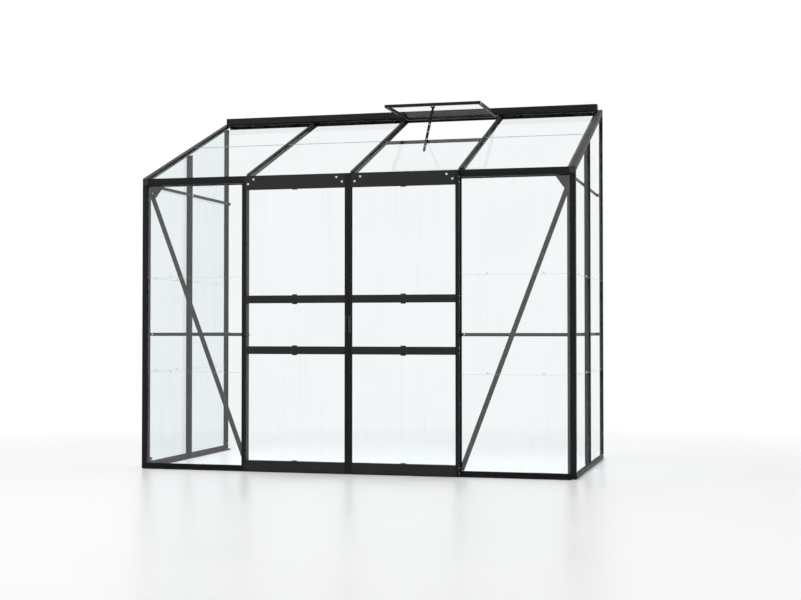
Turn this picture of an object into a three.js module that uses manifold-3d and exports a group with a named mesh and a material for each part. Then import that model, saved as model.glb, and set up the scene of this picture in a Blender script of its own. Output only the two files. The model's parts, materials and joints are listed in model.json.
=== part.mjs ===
// A lean-to greenhouse with an aluminium frame: four glazed bays long and two bays deep, open at the
// back, where it is screwed to a wall. A pair of glazed sliding doors fills the two middle bays of the
// front, and a top-hung vent with a casement stay fills the upper half of the third roof bay.
//
// Millimetres, +Z up, +X along the wall, +Y towards the wall. The members are laid out from the outer
// face of the front frame (y = 0) to the wall (y = depth); the last lines move that layout so that the
// origin lies on the ground, in the middle of the footprint.
import * as THREE from "three";
import { mergeVertices } from "three/addons/utils/BufferGeometryUtils.js";
import Module from "manifold-3d";

const wasm = await Module();
wasm.setup();

// ---------------------------------------------------------------- driving dimensions
const length = 2570; // outer faces of the two gable ends
const depth = 1310; // front face of the frame to the wall
const eavePlane = 1711; // height of the roof's outer plane at y = 0
const wallPlane = 2220; // height of the roof's outer plane at the wall
const ridgeHeight = 2249; // top of the ridge bar
const gutterTop = 1710;
const sillHeight = 30;
const bays = 4; // along the front and the roof
const ridgeGrip = 16; // how far the ridge bar's back leg reaches down behind the roof bars
const edgeInset = 19; // outer face to the centre line of the first bar
const seat = 0.3; // gap between pieces that rest on each other

const glass = 3;
const glassPlay = 0.5; // between a pane and its slot
const skin = 2.5; // outer wall of every extrusion
const rebate = 2 * (glass + glassPlay); // depth of a slot, which takes two lapped panes
const flange = 2; // inner wall of a glass slot
const capWidth = 18;
const flangeWidth = 28;
const barDepth = 35;
const gutterDepth = barDepth + 5.5;
const gutterBottom = gutterTop - barDepth - 10;
const gutterFoot = gutterBottom - 2; // lower edge of its back wall
const sillDepth = barDepth + 5;
const webWidth = 4;
const screwChannel = { width: 16, height: 8, wall: 2, mouth: 6 };
const cornerCap = 31; // face width of a corner post and of a gable rafter
const cornerCore = 20;
const cornerFlange = 48; // reach of the flange behind the glass
const wallFlange = 24; // width of a wall post against the wall

const lap = 12; // overlap of one pane over the next
const frontLaps = [573, 1128]; // heights of the laps in a front bay
const glassFoot = 14; // height of the bottom edge of the wall glass

const strip = 3; // thickness of rails, ties, braces and of the stay
const railWidth = 19;
const midRailHeight = 788.5;
const tieHeight = 1672.5;
const braceWidth = 28;
const braceTop = [38, 1630]; // inwards from the gable face, height
const braceFoot = 32; // height of its lower end
const braceShort = 7; // from its lower end to the jamb's centre line
const plateReach = [115, 68]; // of the corner plate, along its top and at its foot
const plateFoot = 1598;

const leafGap = 1; // between the two meeting stiles
const leafWidth = 641;
const leafFoot = 4;
const leafTop = 1705;
const leafFront = -42; // front face of the leaves
const leafDepth = 18;
const stileWidth = 20;
const stileFoot = 10.5;
const glassSlot = [8.5, 8.5 + glass + 2 * glassPlay]; // in the leaf's depth
const topRailHeight = 80;
const bottomRailHeight = 60;
const midRails = [[968, 1013], [676, 721]]; // lower and upper edge of each
const glassBite = 6; // how far the door glass reaches into its stiles and rails

const trackReach = 22; // of the door track in front of the gutter
const trackLip = 5; // upstand that the rollers run on
const roller = { outer: 12, running: 9, bore: 3.3, width: 9, groove: 4, inset: 70 };
const axleRadius = 3;
const guideLip = { from: -34, to: -32, top: 9, notch: 22 }; // upstand of the sill that guides the doors' foot,
// and how far its ledge stops short of the sill's ends

const handle = { width: 17, foot: 795, height: 100, front: -60, nose: 9 };

const hingeSetback = 61; // vent hinge to the wall
const hingeLift = 8; // and above the roof's outer plane
const beadRadius = 3.5;
const hookInner = 3.8;
const hookWall = 2.1;
const ventSide = 15; // bar centre line to the vent's side
const ventLength = 565;
const ventHeight = 18;
const ventRail = 16;
const ventOpen = 21.2; // degrees above the closed position
const ventSill = { near: 580, far: 556, height: 17 }; // below the hinge, measured down the slope
const stay = { width: 16, length: 278, eye: 2.8, knuckle: 5, back: 538, drop: 22, leanSide: -14.6 };
const stayPin = 2.5;
const stayHoles = { count: 5, pitch: 45, first: 62, radius: 3.2 };
const peg = { radius: 2.5, reach: 5.5 };

// ---------------------------------------------------------------- worked-out values
const pitch = (length - 2 * edgeInset) / bays;
const slope = Math.atan2(wallPlane - eavePlane, depth);
const slotBack = skin + rebate;
const flangeBack = slotBack + flange;
const barFoot = sillHeight + seat;
const halfLength = length / 2;
const sideBarY = depth / 2;
const ridgeInset = 32;
const roofHeight = (y) => eavePlane + y * Math.tan(slope);
const hingeAlong = (depth - hingeSetback) / Math.cos(slope); // measured up the slope

// ---------------------------------------------------------------- finishes
const frameFinish = new THREE.MeshStandardMaterial({ color: 0x202224, roughness: 0.45, metalness: 0.4 });
const glassFinish = new THREE.MeshStandardMaterial({
  color: 0xdfeaea, roughness: 0.05, metalness: 0, transparent: true, opacity: 0.3,
});
const plasticFinish = new THREE.MeshStandardMaterial({ color: 0x3a3b3d, roughness: 0.5, metalness: 0 });
const wheelFinish = new THREE.MeshStandardMaterial({ color: 0xd8d8d4, roughness: 0.6, metalness: 0 });

const frame = new THREE.Group();
const X = new THREE.Vector3(1, 0, 0);
const Y = new THREE.Vector3(0, 1, 0);
const Z = new THREE.Vector3(0, 0, 1);

// ---------------------------------------------------------------- helpers
const outline = (points) => new THREE.Shape(points.map(([a, b]) => new THREE.Vector2(a, b)));

function withHole(shape, points) {
  shape.holes.push(new THREE.Path(points.map(([a, b]) => new THREE.Vector2(a, b))));
  return shape;
}

const circle = (x, y, radius, sides) => Array.from({ length: sides }, (_, i) => {
  const turn = (2 * Math.PI * i) / sides;
  return [x + radius * Math.cos(turn), y + radius * Math.sin(turn)];
});

const extruded = (shape, height) =>
  new THREE.ExtrudeGeometry(shape, { depth: height, bevelEnabled: false, curveSegments: 5 });

// A geometry's triangles with only their positions, welded, as a solid that can be joined or cut.
function solid(geometry) {
  const bare = geometry.index ? geometry.toNonIndexed() : geometry.clone();
  bare.deleteAttribute("normal");
  bare.deleteAttribute("uv");
  const merged = mergeVertices(bare, 1e-4);
  return new wasm.Manifold(new wasm.Mesh({
    numProp: 3,
    vertProperties: new Float32Array(merged.attributes.position.array),
    triVerts: new Uint32Array(merged.index.array),
  }));
}

function geometryOf(manifold) {
  const mesh = manifold.getMesh();
  const geometry = new THREE.BufferGeometry();
  geometry.setAttribute("position", new THREE.BufferAttribute(new Float32Array(mesh.vertProperties), 3));
  geometry.setIndex(new THREE.BufferAttribute(new Uint32Array(mesh.triVerts), 1));
  geometry.computeVertexNormals();
  return geometry;
}

function add(name, geometry, finish, group = frame) {
  const mesh = new THREE.Mesh(geometry, finish);
  mesh.name = name;
  group.add(mesh);
  return mesh;
}

// A section extruded from origin, with its own axes along u and v: it runs along u x v.
function run(section, height, origin, u, v) {
  const turn = new THREE.Matrix4().makeBasis(u, v, new THREE.Vector3().crossVectors(u, v));
  return extruded(section, height).applyMatrix4(turn.setPosition(...origin));
}

// A section drawn in (y, z), run along X between two stations.
const runX = (section, from, to) => run(section, to - from, [from, 0, 0], Y, Z);

const block = (x0, x1, y0, y1, z0, z1) =>
  new THREE.BoxGeometry(x1 - x0, y1 - y0, z1 - z0).translate((x0 + x1) / 2, (y0 + y1) / 2, (z0 + z1) / 2);

const mirrorX = (points) => points.map(([a, b]) => [-a, b]);

// ---------------------------------------------------------------- sections
// Glazing bar: a cap outside, a slot for glass on each side of the web, and a screw channel inside.
function barSection() {
  const half = [
    [capWidth / 2, 0],
    [capWidth / 2, skin],
    [webWidth / 2, skin],
    [webWidth / 2, slotBack],
    [flangeWidth / 2, slotBack],
    [flangeWidth / 2, flangeBack],
    [webWidth / 2, flangeBack],
    [webWidth / 2, barDepth - screwChannel.height],
    [screwChannel.width / 2, barDepth - screwChannel.height],
    [screwChannel.width / 2, barDepth],
    [screwChannel.mouth / 2, barDepth],
    [screwChannel.mouth / 2, barDepth - screwChannel.wall],
    [screwChannel.width / 2 - screwChannel.wall, barDepth - screwChannel.wall],
    [screwChannel.width / 2 - screwChannel.wall, barDepth - screwChannel.height + screwChannel.wall],
  ];
  return outline([...half, ...mirrorX(half).reverse()]);
}

// Corner post and gable rafter: two caps at a right angle round a hollow core, each with a glass slot.
function cornerSection() {
  const core = cornerCore;
  const shape = outline([
    [0, 0], [cornerCap, 0], [cornerCap, skin], [core, skin], [core, slotBack],
    [cornerFlange, slotBack], [cornerFlange, flangeBack], [core + flange, flangeBack],
    [core + flange, core + flange], [flangeBack, core + flange], [flangeBack, barDepth],
    [slotBack, barDepth], [slotBack, core], [skin, core], [skin, cornerCap], [0, cornerCap],
  ]);
  const [near, far] = [skin + 0.5, core - skin - 0.5];
  return withHole(shape, [[near, near], [near, far], [far, far], [far, near]]);
}

// Wall post: a wide flange against the wall and a slot for the gable glass, open to the front.
function wallPostSection() {
  const slotFloor = 12;
  const reach = 28;
  return outline([
    [0, 0], [wallFlange, 0], [wallFlange, skin], [flangeBack, skin], [flangeBack, reach],
    [slotBack, reach], [slotBack, slotFloor], [skin, slotFloor], [skin, reach], [0, reach],
  ]);
}

// Sill: a base plate with an outer wall and a lip that hold the glass between them.
function sillSection(withGuide) {
  const base = 2;
  const backWall = 10;
  const foot = withGuide
    ? [[0, base], [guideLip.to, base], [guideLip.to, guideLip.top], [guideLip.from, guideLip.top], [guideLip.from, 0]]
    : [[0, 0]];
  return outline([
    ...foot,
    [sillDepth, 0], [sillDepth, backWall], [sillDepth - base, backWall], [sillDepth - base, base],
    [flangeBack, base], [flangeBack, sillHeight], [slotBack, sillHeight], [slotBack, base],
    [skin, base], [skin, sillHeight], [0, sillHeight],
  ]);
}

// Eave gutter: track lip in front, glass slot below, and the rain channel on top.
function gutterSection() {
  const sheet = 2.5;
  const lipBase = gutterBottom + 1;
  const lipFloor = lipBase + 3;
  const slotTop = gutterBottom + 10.5;
  const floor = slotTop + sheet;
  const backTop = roofHeight(gutterDepth - sheet) - barDepth / Math.cos(slope) - seat;
  return outline([
    [-trackReach, lipBase], [-trackReach, lipFloor + trackLip], [2 - trackReach, lipFloor + trackLip],
    [2 - trackReach, lipFloor], [0, lipFloor], [0, gutterTop], [skin, gutterTop], [skin, floor],
    [gutterDepth - sheet, floor], [gutterDepth - sheet, backTop], [gutterDepth, backTop],
    [gutterDepth, gutterFoot], [gutterDepth - sheet, gutterFoot], [gutterDepth - sheet, slotTop],
    [flangeBack, slotTop], [flangeBack, gutterBottom], [slotBack, gutterBottom], [slotBack, slotTop],
    [skin, slotTop], [skin, lipBase],
  ]);
}

// Lapped panes seen edge-on: each pane leans from the inside of the slot at its top to the outside at its foot.
function lappedGlass(from, to, laps) {
  const outer = skin + glassPlay;
  const middle = outer + glass;
  const inner = middle + glass;
  const feet = [from, ...laps.map((at) => at - lap / 2)];
  const heads = [...laps.map((at) => at + lap / 2), to];
  const lean = (i, at, face) => face + (glass * (at - feet[i])) / (heads[i] - feet[i]);
  const last = feet.length - 1;
  const front = feet.flatMap((foot, i) => {
    const end = i < last ? feet[i + 1] : to;
    return [[outer, foot], [lean(i, end, outer), end]];
  });
  const back = heads.flatMap((head, i) => {
    const start = i > 0 ? heads[i - 1] : from;
    return [[lean(i, start, middle), start], [inner, head]];
  }).reverse();
  return outline([...front, ...back]);
}

// ---------------------------------------------------------------- sills, posts and bars
// Everything above the underside of the roof members, for trimming the tops of the posts.
const aboveRafters = (() => {
  const room = 4000;
  const lid = block(-room, room, -room, room, 0, room);
  lid.rotateX(slope).translate(0, 0, eavePlane - (barDepth + seat) / Math.cos(slope));
  return solid(lid);
})();
const trimmed = (geometry, ...cuts) => geometryOf(cuts.reduce((body, cut) => body.subtract(cut), solid(geometry)));

const ledgeEnds = [-halfLength - 1, halfLength - guideLip.notch].map((at) =>
  solid(block(at, at + guideLip.notch + 1, guideLip.from - 1, 0, -1, sillHeight)));
add("front_sill", trimmed(runX(sillSection(true), -halfLength, halfLength), ...ledgeEnds), frameFinish);

const sideSillStart = sillDepth + seat;
const sideSillRun = depth - sideSillStart;
add("left_sill", run(sillSection(false), sideSillRun, [-halfLength, depth, 0], X, Z), frameFinish);
add("right_sill", run(sillSection(false), sideSillRun, [halfLength, sideSillStart, 0], X.clone().negate(), Z), frameFinish);

const postRun = wallPlane - barFoot;
const gutterEnd = halfLength - cornerCap - seat;
const roomForGutter = (side) => {
  const [from, to] = [gutterEnd - 20, gutterEnd + seat].map((at) => side * at);
  return solid(block(Math.min(from, to), Math.max(from, to), -5, gutterDepth + 5, gutterBottom - seat, wallPlane));
};
for (const [name, side] of [["left", -1], ["right", 1]]) {
  const inward = X.clone().multiplyScalar(-side);
  const post = side < 0
    ? run(cornerSection(), postRun, [side * halfLength, 0, barFoot], inward, Y)
    : run(cornerSection(), postRun, [side * halfLength, 0, wallPlane], inward, Y);
  add(`${name}_corner_post`, trimmed(post, aboveRafters, roomForGutter(side)), frameFinish);

  const wallPost = side < 0
    ? run(wallPostSection(), postRun, [side * halfLength, depth, wallPlane], inward, Y.clone().negate())
    : run(wallPostSection(), postRun, [side * halfLength, depth, barFoot], inward, Y.clone().negate());
  add(`${name}_wall_post`, trimmed(wallPost, aboveRafters), frameFinish);

  const sideBar = run(barSection(), postRun, [side * halfLength, sideBarY, barFoot], Y.clone().multiplyScalar(side), inward);
  add(`${name}_side_bar`, trimmed(sideBar, aboveRafters), frameFinish);

  const jamb = run(barSection(), gutterBottom - seat - barFoot, [side * pitch, 0, barFoot], X, Y);
  add(`${name}_door_jamb`, jamb, frameFinish);
}

add("eave_gutter", runX(gutterSection(), -gutterEnd, gutterEnd), frameFinish);

// ---------------------------------------------------------------- rails, ties and braces
const railBack = barDepth + seat + strip + seat; // rails lie behind the braces, on spacers
const spacer = railBack - barDepth - seat;
function frontRail(side) {
  const z0 = midRailHeight - railWidth / 2;
  const z1 = z0 + railWidth;
  const outerEnd = halfLength - slotBack;
  const innerEnd = pitch - screwChannel.width / 2;
  const span = (from, to, y0, y1) =>
    solid(block(Math.min(side * from, side * to), Math.max(side * from, side * to), y0, y1, z0, z1));
  const bar = span(innerEnd, outerEnd, railBack, railBack + strip);
  const ends = [[innerEnd, innerEnd + railWidth], [outerEnd - flange, outerEnd]].map(([from, to]) =>
    span(from, to, railBack - spacer, railBack));
  return geometryOf(ends.reduce((body, end) => body.add(end), bar));
}

// Strip along a gable, with its rear end turned out against the wall post.
function sideRail(side, start, height) {
  const inner = halfLength - barDepth - seat - strip;
  const end = depth - skin - seat;
  const span = (to, y0, y1) => solid(block(Math.min(side * inner, side * to), Math.max(side * inner, side * to),
    y0, y1, height - railWidth / 2, height + railWidth / 2));
  return geometryOf(span(inner + strip, start, end).add(span(halfLength - flangeBack - seat, end - strip, end)));
}

// Diagonal strip with its corner plate, drawn in (x, z) and thick along y.
function brace(side) {
  const lowerEnd = [edgeInset + pitch - braceShort, braceFoot];
  const [top, foot] = [braceTop, lowerEnd].map(([a, z]) => new THREE.Vector2(side * (halfLength - a), z));
  const along = foot.clone().sub(top).normalize();
  const across = new THREE.Vector2(-along.y, along.x).multiplyScalar(braceWidth / 2);
  const corners = [top.clone().add(across), foot.clone().add(across), foot.clone().sub(across), top.clone().sub(across)];
  const lay = (shape) => solid(run(shape, strip, [0, barDepth + seat + strip, 0], X, Z));
  const plate = outline([
    [slotBack, gutterFoot - seat], [plateReach[0], gutterFoot - seat],
    [plateReach[1], plateFoot], [slotBack, plateFoot],
  ].map(([a, z]) => [side * (halfLength - a), z]));
  return geometryOf(lay(new THREE.Shape(corners)).add(lay(plate)));
}

for (const [name, side] of [["left", -1], ["right", 1]]) {
  add(`${name}_front_rail`, frontRail(side), frameFinish);
  add(`${name}_side_rail`, sideRail(side, railBack + strip + seat, midRailHeight), frameFinish);
  add(`${name}_side_tie`, sideRail(side, gutterDepth + seat, tieHeight), frameFinish);
  add(`${name}_brace`, brace(side), frameFinish);
}

// ---------------------------------------------------------------- wall glass
const glassHead = gutterBottom + 9;
const cornerEdge = halfLength - cornerCore - 1;
const barEdge = webWidth / 2 + 1; // bar centre line to the edge of a pane
for (const [name, side] of [["left", -1], ["right", 1]]) {
  const [from, to] = [side * cornerEdge, side * (pitch + barEdge)].sort((a, b) => a - b);
  add(`${name}_front_glass`, runX(lappedGlass(glassFoot, glassHead, frontLaps), from, to), glassFinish);

  const paneHead = (y) => roofHeight(y) - (cornerCore + flange) / Math.cos(slope);
  const outerFace = side > 0 ? halfLength - slotBack + seat : slotBack - seat - glass - halfLength;
  const bay = (y0, y1) => run(outline([[y0, glassFoot], [y1, glassFoot], [y1, paneHead(y1)], [y0, paneHead(y0)]]),
    glass, [outerFace, 0, 0], Y, Z);
  const postSlot = depth - 13;
  add(`${name}_gable_glass_front`, bay(cornerCore + 1, sideBarY - barEdge), glassFinish);
  add(`${name}_gable_glass_back`, bay(sideBarY + barEdge, postSlot), glassFinish);
}

// ---------------------------------------------------------------- roof
// The roof group's own frame: y runs up the slope from the eave, z stands out of the roof's outer plane.
const roof = new THREE.Group();
roof.position.set(0, 0, eavePlane);
roof.rotation.x = slope;
frame.add(roof);
const DOWN = Z.clone().negate();
const slopeRun = depth / Math.cos(slope);
const toWorld = new THREE.Matrix4().makeRotationX(slope).setPosition(0, 0, eavePlane);
const fromWorld = toWorld.clone().invert();
const worldCut = (geometry) => solid(geometry.applyMatrix4(fromWorld));
const far = 6000;
const barStart = 30;
const beyondWall = worldCut(block(-far, far, depth - skin - seat, far, -far, far));
const beforeEave = (y) => worldCut(block(-far, far, -far, y, -far, far));

for (let i = 1; i < bays; i++) {
  const bar = run(barSection(), slopeRun + barDepth, [-halfLength + edgeInset + i * pitch, -barDepth, 0], X, DOWN);
  add(`roof_bar_${i}`, trimmed(bar, beforeEave(barStart), beyondWall), frameFinish, roof);
}
for (const [name, side] of [["left", -1], ["right", 1]]) {
  const start = side < 0 ? -barDepth : slopeRun;
  const rafter = run(cornerSection(), slopeRun + barDepth, [side * halfLength, start, 0], X.clone().multiplyScalar(-side), DOWN);
  add(`${name}_gable_rafter`, trimmed(rafter, beforeEave(skin + seat), beyondWall), frameFinish, roof);
}

const lapAlong = hingeAlong - ventLength - 3;
const roofGlassFoot = 12;
const roofGlassHead = hingeAlong + 42;
for (let i = 0; i < bays; i++) {
  const centre = -halfLength + edgeInset + (i + 0.5) * pitch;
  const left = i === 0 ? -cornerEdge : centre - pitch / 2 + barEdge;
  const right = i === bays - 1 ? cornerEdge : centre + pitch / 2 - barEdge;
  const ventBay = i === 2;
  const section = ventBay
    ? lappedGlass(roofGlassFoot, lapAlong, [])
    : lappedGlass(roofGlassFoot, roofGlassHead, [lapAlong]);
  add(`roof_glass_${i + 1}`, run(section, right - left, [left, 0, 0], DOWN, Y), glassFinish, roof);
}

// Cross bar between two roof bars: the lower pane ends on it, the vent closes on it, and its peg holds the stay.
const ventLeft = ventSide;
const ventRight = pitch - ventSide;
const ventMiddle = pitch / 2;
const sillTop = -(slotBack - 0.2);
const pegHeight = sillTop - ventSill.height / 2;
const staySide = THREE.MathUtils.degToRad(stay.leanSide);
{
  const [x0, x1] = [flangeWidth / 2 + seat, pitch - flangeWidth / 2 - seat];
  const [s0, s1] = [hingeAlong - ventSill.near, hingeAlong - ventSill.far];
  const wall = 2;
  const low = sillTop - ventSill.height;
  const channel = outline([
    [s0, sillTop], [s1, sillTop], [s1, low], [s1 - wall, low], [s1 - wall, sillTop - wall],
    [s0 + wall, sillTop - wall], [s0 + wall, low], [s0, low],
  ]);
  const body = solid(runX(channel, x0, x1));
  const pegX = ventMiddle + Math.tan(staySide) * 195;
  const pegBody = new THREE.CylinderGeometry(peg.radius, peg.radius, peg.reach + wall, 16);
  pegBody.translate(pegX, s1 + (peg.reach - wall) / 2, pegHeight);
  add("vent_sill", geometryOf(body.add(solid(pegBody))), frameFinish, roof);
}

// ---------------------------------------------------------------- ridge bar
const hinge = new THREE.Vector3(0, hingeAlong, hingeLift).applyMatrix4(toWorld);
{
  const frontPlate = hinge.y + hookInner;
  const flangeFoot = wallPlane - ridgeGrip;
  const body = outline([
    [depth - skin, flangeFoot], [depth, flangeFoot], [depth, ridgeHeight], [frontPlate, ridgeHeight],
    [frontPlate, hinge.z + 2], [frontPlate + skin, hinge.z + 2], [frontPlate + skin, ridgeHeight - skin],
    [depth - skin, ridgeHeight - skin],
  ]);
  const [mouthTop, mouthFoot] = [150, 238].map(THREE.MathUtils.degToRad);
  const steps = 18;
  const ring = (radius) => Array.from({ length: steps + 1 }, (_, i) => {
    const turn = mouthFoot + ((mouthTop + 2 * Math.PI - mouthFoot) * i) / steps;
    return [hinge.y + radius * Math.cos(turn), hinge.z + radius * Math.sin(turn)];
  });
  const hook = outline([...ring(hookInner), ...ring(hookInner + hookWall).reverse()]);
  const end = halfLength - ridgeInset;
  add("ridge_bar", geometryOf(solid(runX(body, -end, end)).add(solid(runX(hook, -end, end)))), frameFinish);
}

// ---------------------------------------------------------------- vent and stay
// The vent group's origin is on the hinge; the vent reaches back along -y and is drawn closed.
const vent = new THREE.Group();
vent.position.set(0, hingeAlong, hingeLift);
vent.rotation.x = -THREE.MathUtils.degToRad(ventOpen);
roof.add(vent);
const ventTop = 1;
const ventBack = 9;
const ventLow = ventTop - ventHeight;
{
  const ring = withHole(
    outline([[ventLeft, -ventLength], [ventRight, -ventLength], [ventRight, -ventBack], [ventLeft, -ventBack]]),
    [[ventLeft + ventRail, ventRail - ventLength], [ventLeft + ventRail, -ventBack - ventRail],
      [ventRight - ventRail, -ventBack - ventRail], [ventRight - ventRail, ventRail - ventLength]]);
  const body = solid(run(ring, ventHeight, [0, 0, ventLow], X, Y));
  const bite = ventRail - glassBite;
  const grooveHalf = glass / 2 + glassPlay;
  const mid = ventTop - ventHeight / 2;
  const groove = solid(block(ventLeft + bite - 1, ventRight - bite + 1, bite - 1 - ventLength,
    1 - ventBack - bite, mid - grooveHalf, mid + grooveHalf));
  const bead = new THREE.CylinderGeometry(beadRadius, beadRadius, ventRight - ventLeft, 16).rotateZ(Math.PI / 2);
  const neck = block(ventLeft, ventRight, -ventBack - 1, 0, ventTop - 2.5, ventTop);
  const earThickness = 3;
  const ear = outline([
    [1 - ventSill.far, ventLow + 1], [1 - ventSill.far, ventLow], [-stay.back - 2, -stay.drop - 5],
    [4 - stay.back, -stay.drop - 5], [4 - stay.back, -stay.drop + 4], [-ventLength + ventRail, ventLow + 1],
  ]);
  const earAt = stay.width / 2 + 1;
  const ears = [-earAt - earThickness, earAt].map((at) =>
    solid(runX(ear, ventMiddle + at, ventMiddle + at + earThickness)));
  const pin = new THREE.CylinderGeometry(stayPin, stayPin, 2 * (earAt + earThickness), 16).rotateZ(Math.PI / 2);
  pin.translate(ventMiddle, -stay.back, -stay.drop);
  bead.translate(ventMiddle, 0, 0);
  const made = [solid(bead), solid(neck), ...ears, solid(pin)].reduce((whole, piece) => whole.add(piece), body.subtract(groove));
  add("vent_frame", geometryOf(made), frameFinish, vent);
  add("vent_glass", block(ventLeft + bite, ventRight - bite, bite - ventLength, -ventBack - bite,
    mid - glass / 2, mid + glass / 2), glassFinish, vent);
}

// The stay hangs on the vent's pin in its open place, against the end of the peg: a flat strip with a
// rolled eye and a row of holes.
const pegTip = new THREE.Vector3(0, hingeAlong - ventSill.far + peg.reach, pegHeight - peg.radius);
const stayTop = new THREE.Vector3(0, -stay.back, -stay.drop).applyEuler(vent.rotation);
stayTop.add(vent.position);
const toPeg = pegTip.applyMatrix4(toWorld).sub(stayTop.applyMatrix4(toWorld));
const stayLean = Math.atan2(toPeg.y, -toPeg.z) + Math.asin((strip / 2 + seat) / Math.hypot(toPeg.y, toPeg.z));
{
  const shape = outline([
    [-stay.width / 2, 0], [stay.width / 2, 0], [stay.width / 2, 6 - stay.length],
    [stay.width / 2 - 5, -stay.length], [5 - stay.width / 2, -stay.length], [-stay.width / 2, 6 - stay.length],
  ]);
  for (let i = 0; i < stayHoles.count; i++) {
    withHole(shape, circle(0, -stayHoles.first - i * stayHoles.pitch, stayHoles.radius, 12));
  }
  const blade = run(shape, strip, [0, strip / 2, 0], X, Z).rotateY(-staySide);
  const knuckle = new THREE.CylinderGeometry(stay.knuckle, stay.knuckle, stay.width, 20).rotateZ(Math.PI / 2);
  const eye = new THREE.CylinderGeometry(stay.eye, stay.eye, stay.width * 2, 20).rotateZ(Math.PI / 2);
  const made = solid(blade).add(solid(knuckle)).subtract(solid(eye));
  const sides = [-1, 1].map((side) => {
    const edge = side * (stay.width / 2);
    return solid(block(Math.min(edge, side * far), Math.max(edge, side * far), -stay.knuckle, stay.knuckle, -15, stay.knuckle));
  });
  const mesh = add("vent_stay", geometryOf(sides.reduce((body, side) => body.subtract(side), made)), frameFinish, vent);
  mesh.position.set(ventMiddle, -stay.back, -stay.drop);
  mesh.rotation.x = stayLean - slope + THREE.MathUtils.degToRad(ventOpen);
}

// ---------------------------------------------------------------- sliding doors
// A leaf is drawn from its outer stile (0) to its meeting stile (leafWidth), then placed on its side.
const leafBack = leafFront + leafDepth;
const stileSection = () => {
  const [near, beyond] = glassSlot;
  const floor = stileWidth - glassBite - 2;
  const wall = 2.5;
  return withHole(
    outline([
      [0, 0], [stileWidth, 0], [stileWidth, near], [floor, near], [floor, beyond],
      [stileWidth, beyond], [stileWidth, leafDepth], [0, leafDepth],
    ]),
    [[wall, wall], [wall, leafDepth - wall], [floor - wall, leafDepth - wall], [floor - wall, wall]]);
};

function topRailSection() {
  const [near, beyond] = glassSlot.map((at) => leafFront + at);
  const foot = leafTop - topRailHeight;
  const slotTop = foot + glassBite + 3;
  const plate = leafFront + skin;
  return outline([
    [leafFront, foot], [near, foot], [near, slotTop], [beyond, slotTop], [beyond, foot], [leafBack, foot],
    [leafBack, slotTop + 6], [plate, slotTop + 6], [plate, leafTop - skin], [leafBack - 3, leafTop - skin],
    [leafBack - 3, leafTop], [leafFront, leafTop],
  ]);
}

function bottomRailSection() {
  const [near, beyond] = glassSlot.map((at) => leafFront + at);
  const top = leafFoot + bottomRailHeight;
  const slotFloor = top - glassBite - 3;
  const [grooveFront, grooveBack] = [guideLip.from - 2, guideLip.to + 2];
  const grooveTop = guideLip.top + 3;
  return withHole(
    outline([
      [leafFront, leafFoot], [grooveFront, leafFoot], [grooveFront, grooveTop], [grooveBack, grooveTop],
      [grooveBack, leafFoot], [leafBack, leafFoot], [leafBack, top], [beyond, top], [beyond, slotFloor],
      [near, slotFloor], [near, top], [leafFront, top],
    ]),
    [[leafFront + skin, grooveTop + skin], [leafFront + skin, slotFloor - skin],
      [leafBack - skin, slotFloor - skin], [leafBack - skin, grooveTop + skin]]);
}

// Cross rail on the face of the glass, with its two long edges rounded off.
function crossRailSection(foot, top) {
  const back = leafFront + glassSlot[0] + 0.2;
  const ease = 2;
  return outline([
    [leafFront + ease, foot], [back, foot], [back, top], [leafFront + ease, top],
    [leafFront, top - ease], [leafFront, foot + ease],
  ]);
}

function handleSection() {
  const base = leafFront - seat;
  const w = handle.width / 2;
  const shape = new THREE.Shape();
  shape.moveTo(-w, base);
  shape.lineTo(w, base);
  shape.lineTo(w, base - 3);
  shape.quadraticCurveTo(handle.nose / 2 + 1, base - 6, handle.nose / 2, handle.front + 3);
  shape.quadraticCurveTo(handle.nose / 2, handle.front, 0, handle.front);
  shape.quadraticCurveTo(-handle.nose / 2, handle.front, -handle.nose / 2, handle.front + 3);
  shape.quadraticCurveTo(-handle.nose / 2 - 1, base - 6, -w, base - 3);
  return shape;
}

function rollerGeometry() {
  const { outer, running, bore, width, groove } = roller;
  const [half, inner] = [width / 2, groove / 2];
  const profile = [
    [bore, -half], [outer, -half], [outer, -inner - 0.8], [running, -inner + 0.6],
    [running, inner - 0.6], [outer, inner + 0.8], [outer, half], [bore, half], [bore, -half],
  ].map(([r, at]) => new THREE.Vector2(r, at));
  return new THREE.LatheGeometry(profile, 24);
}

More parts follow.
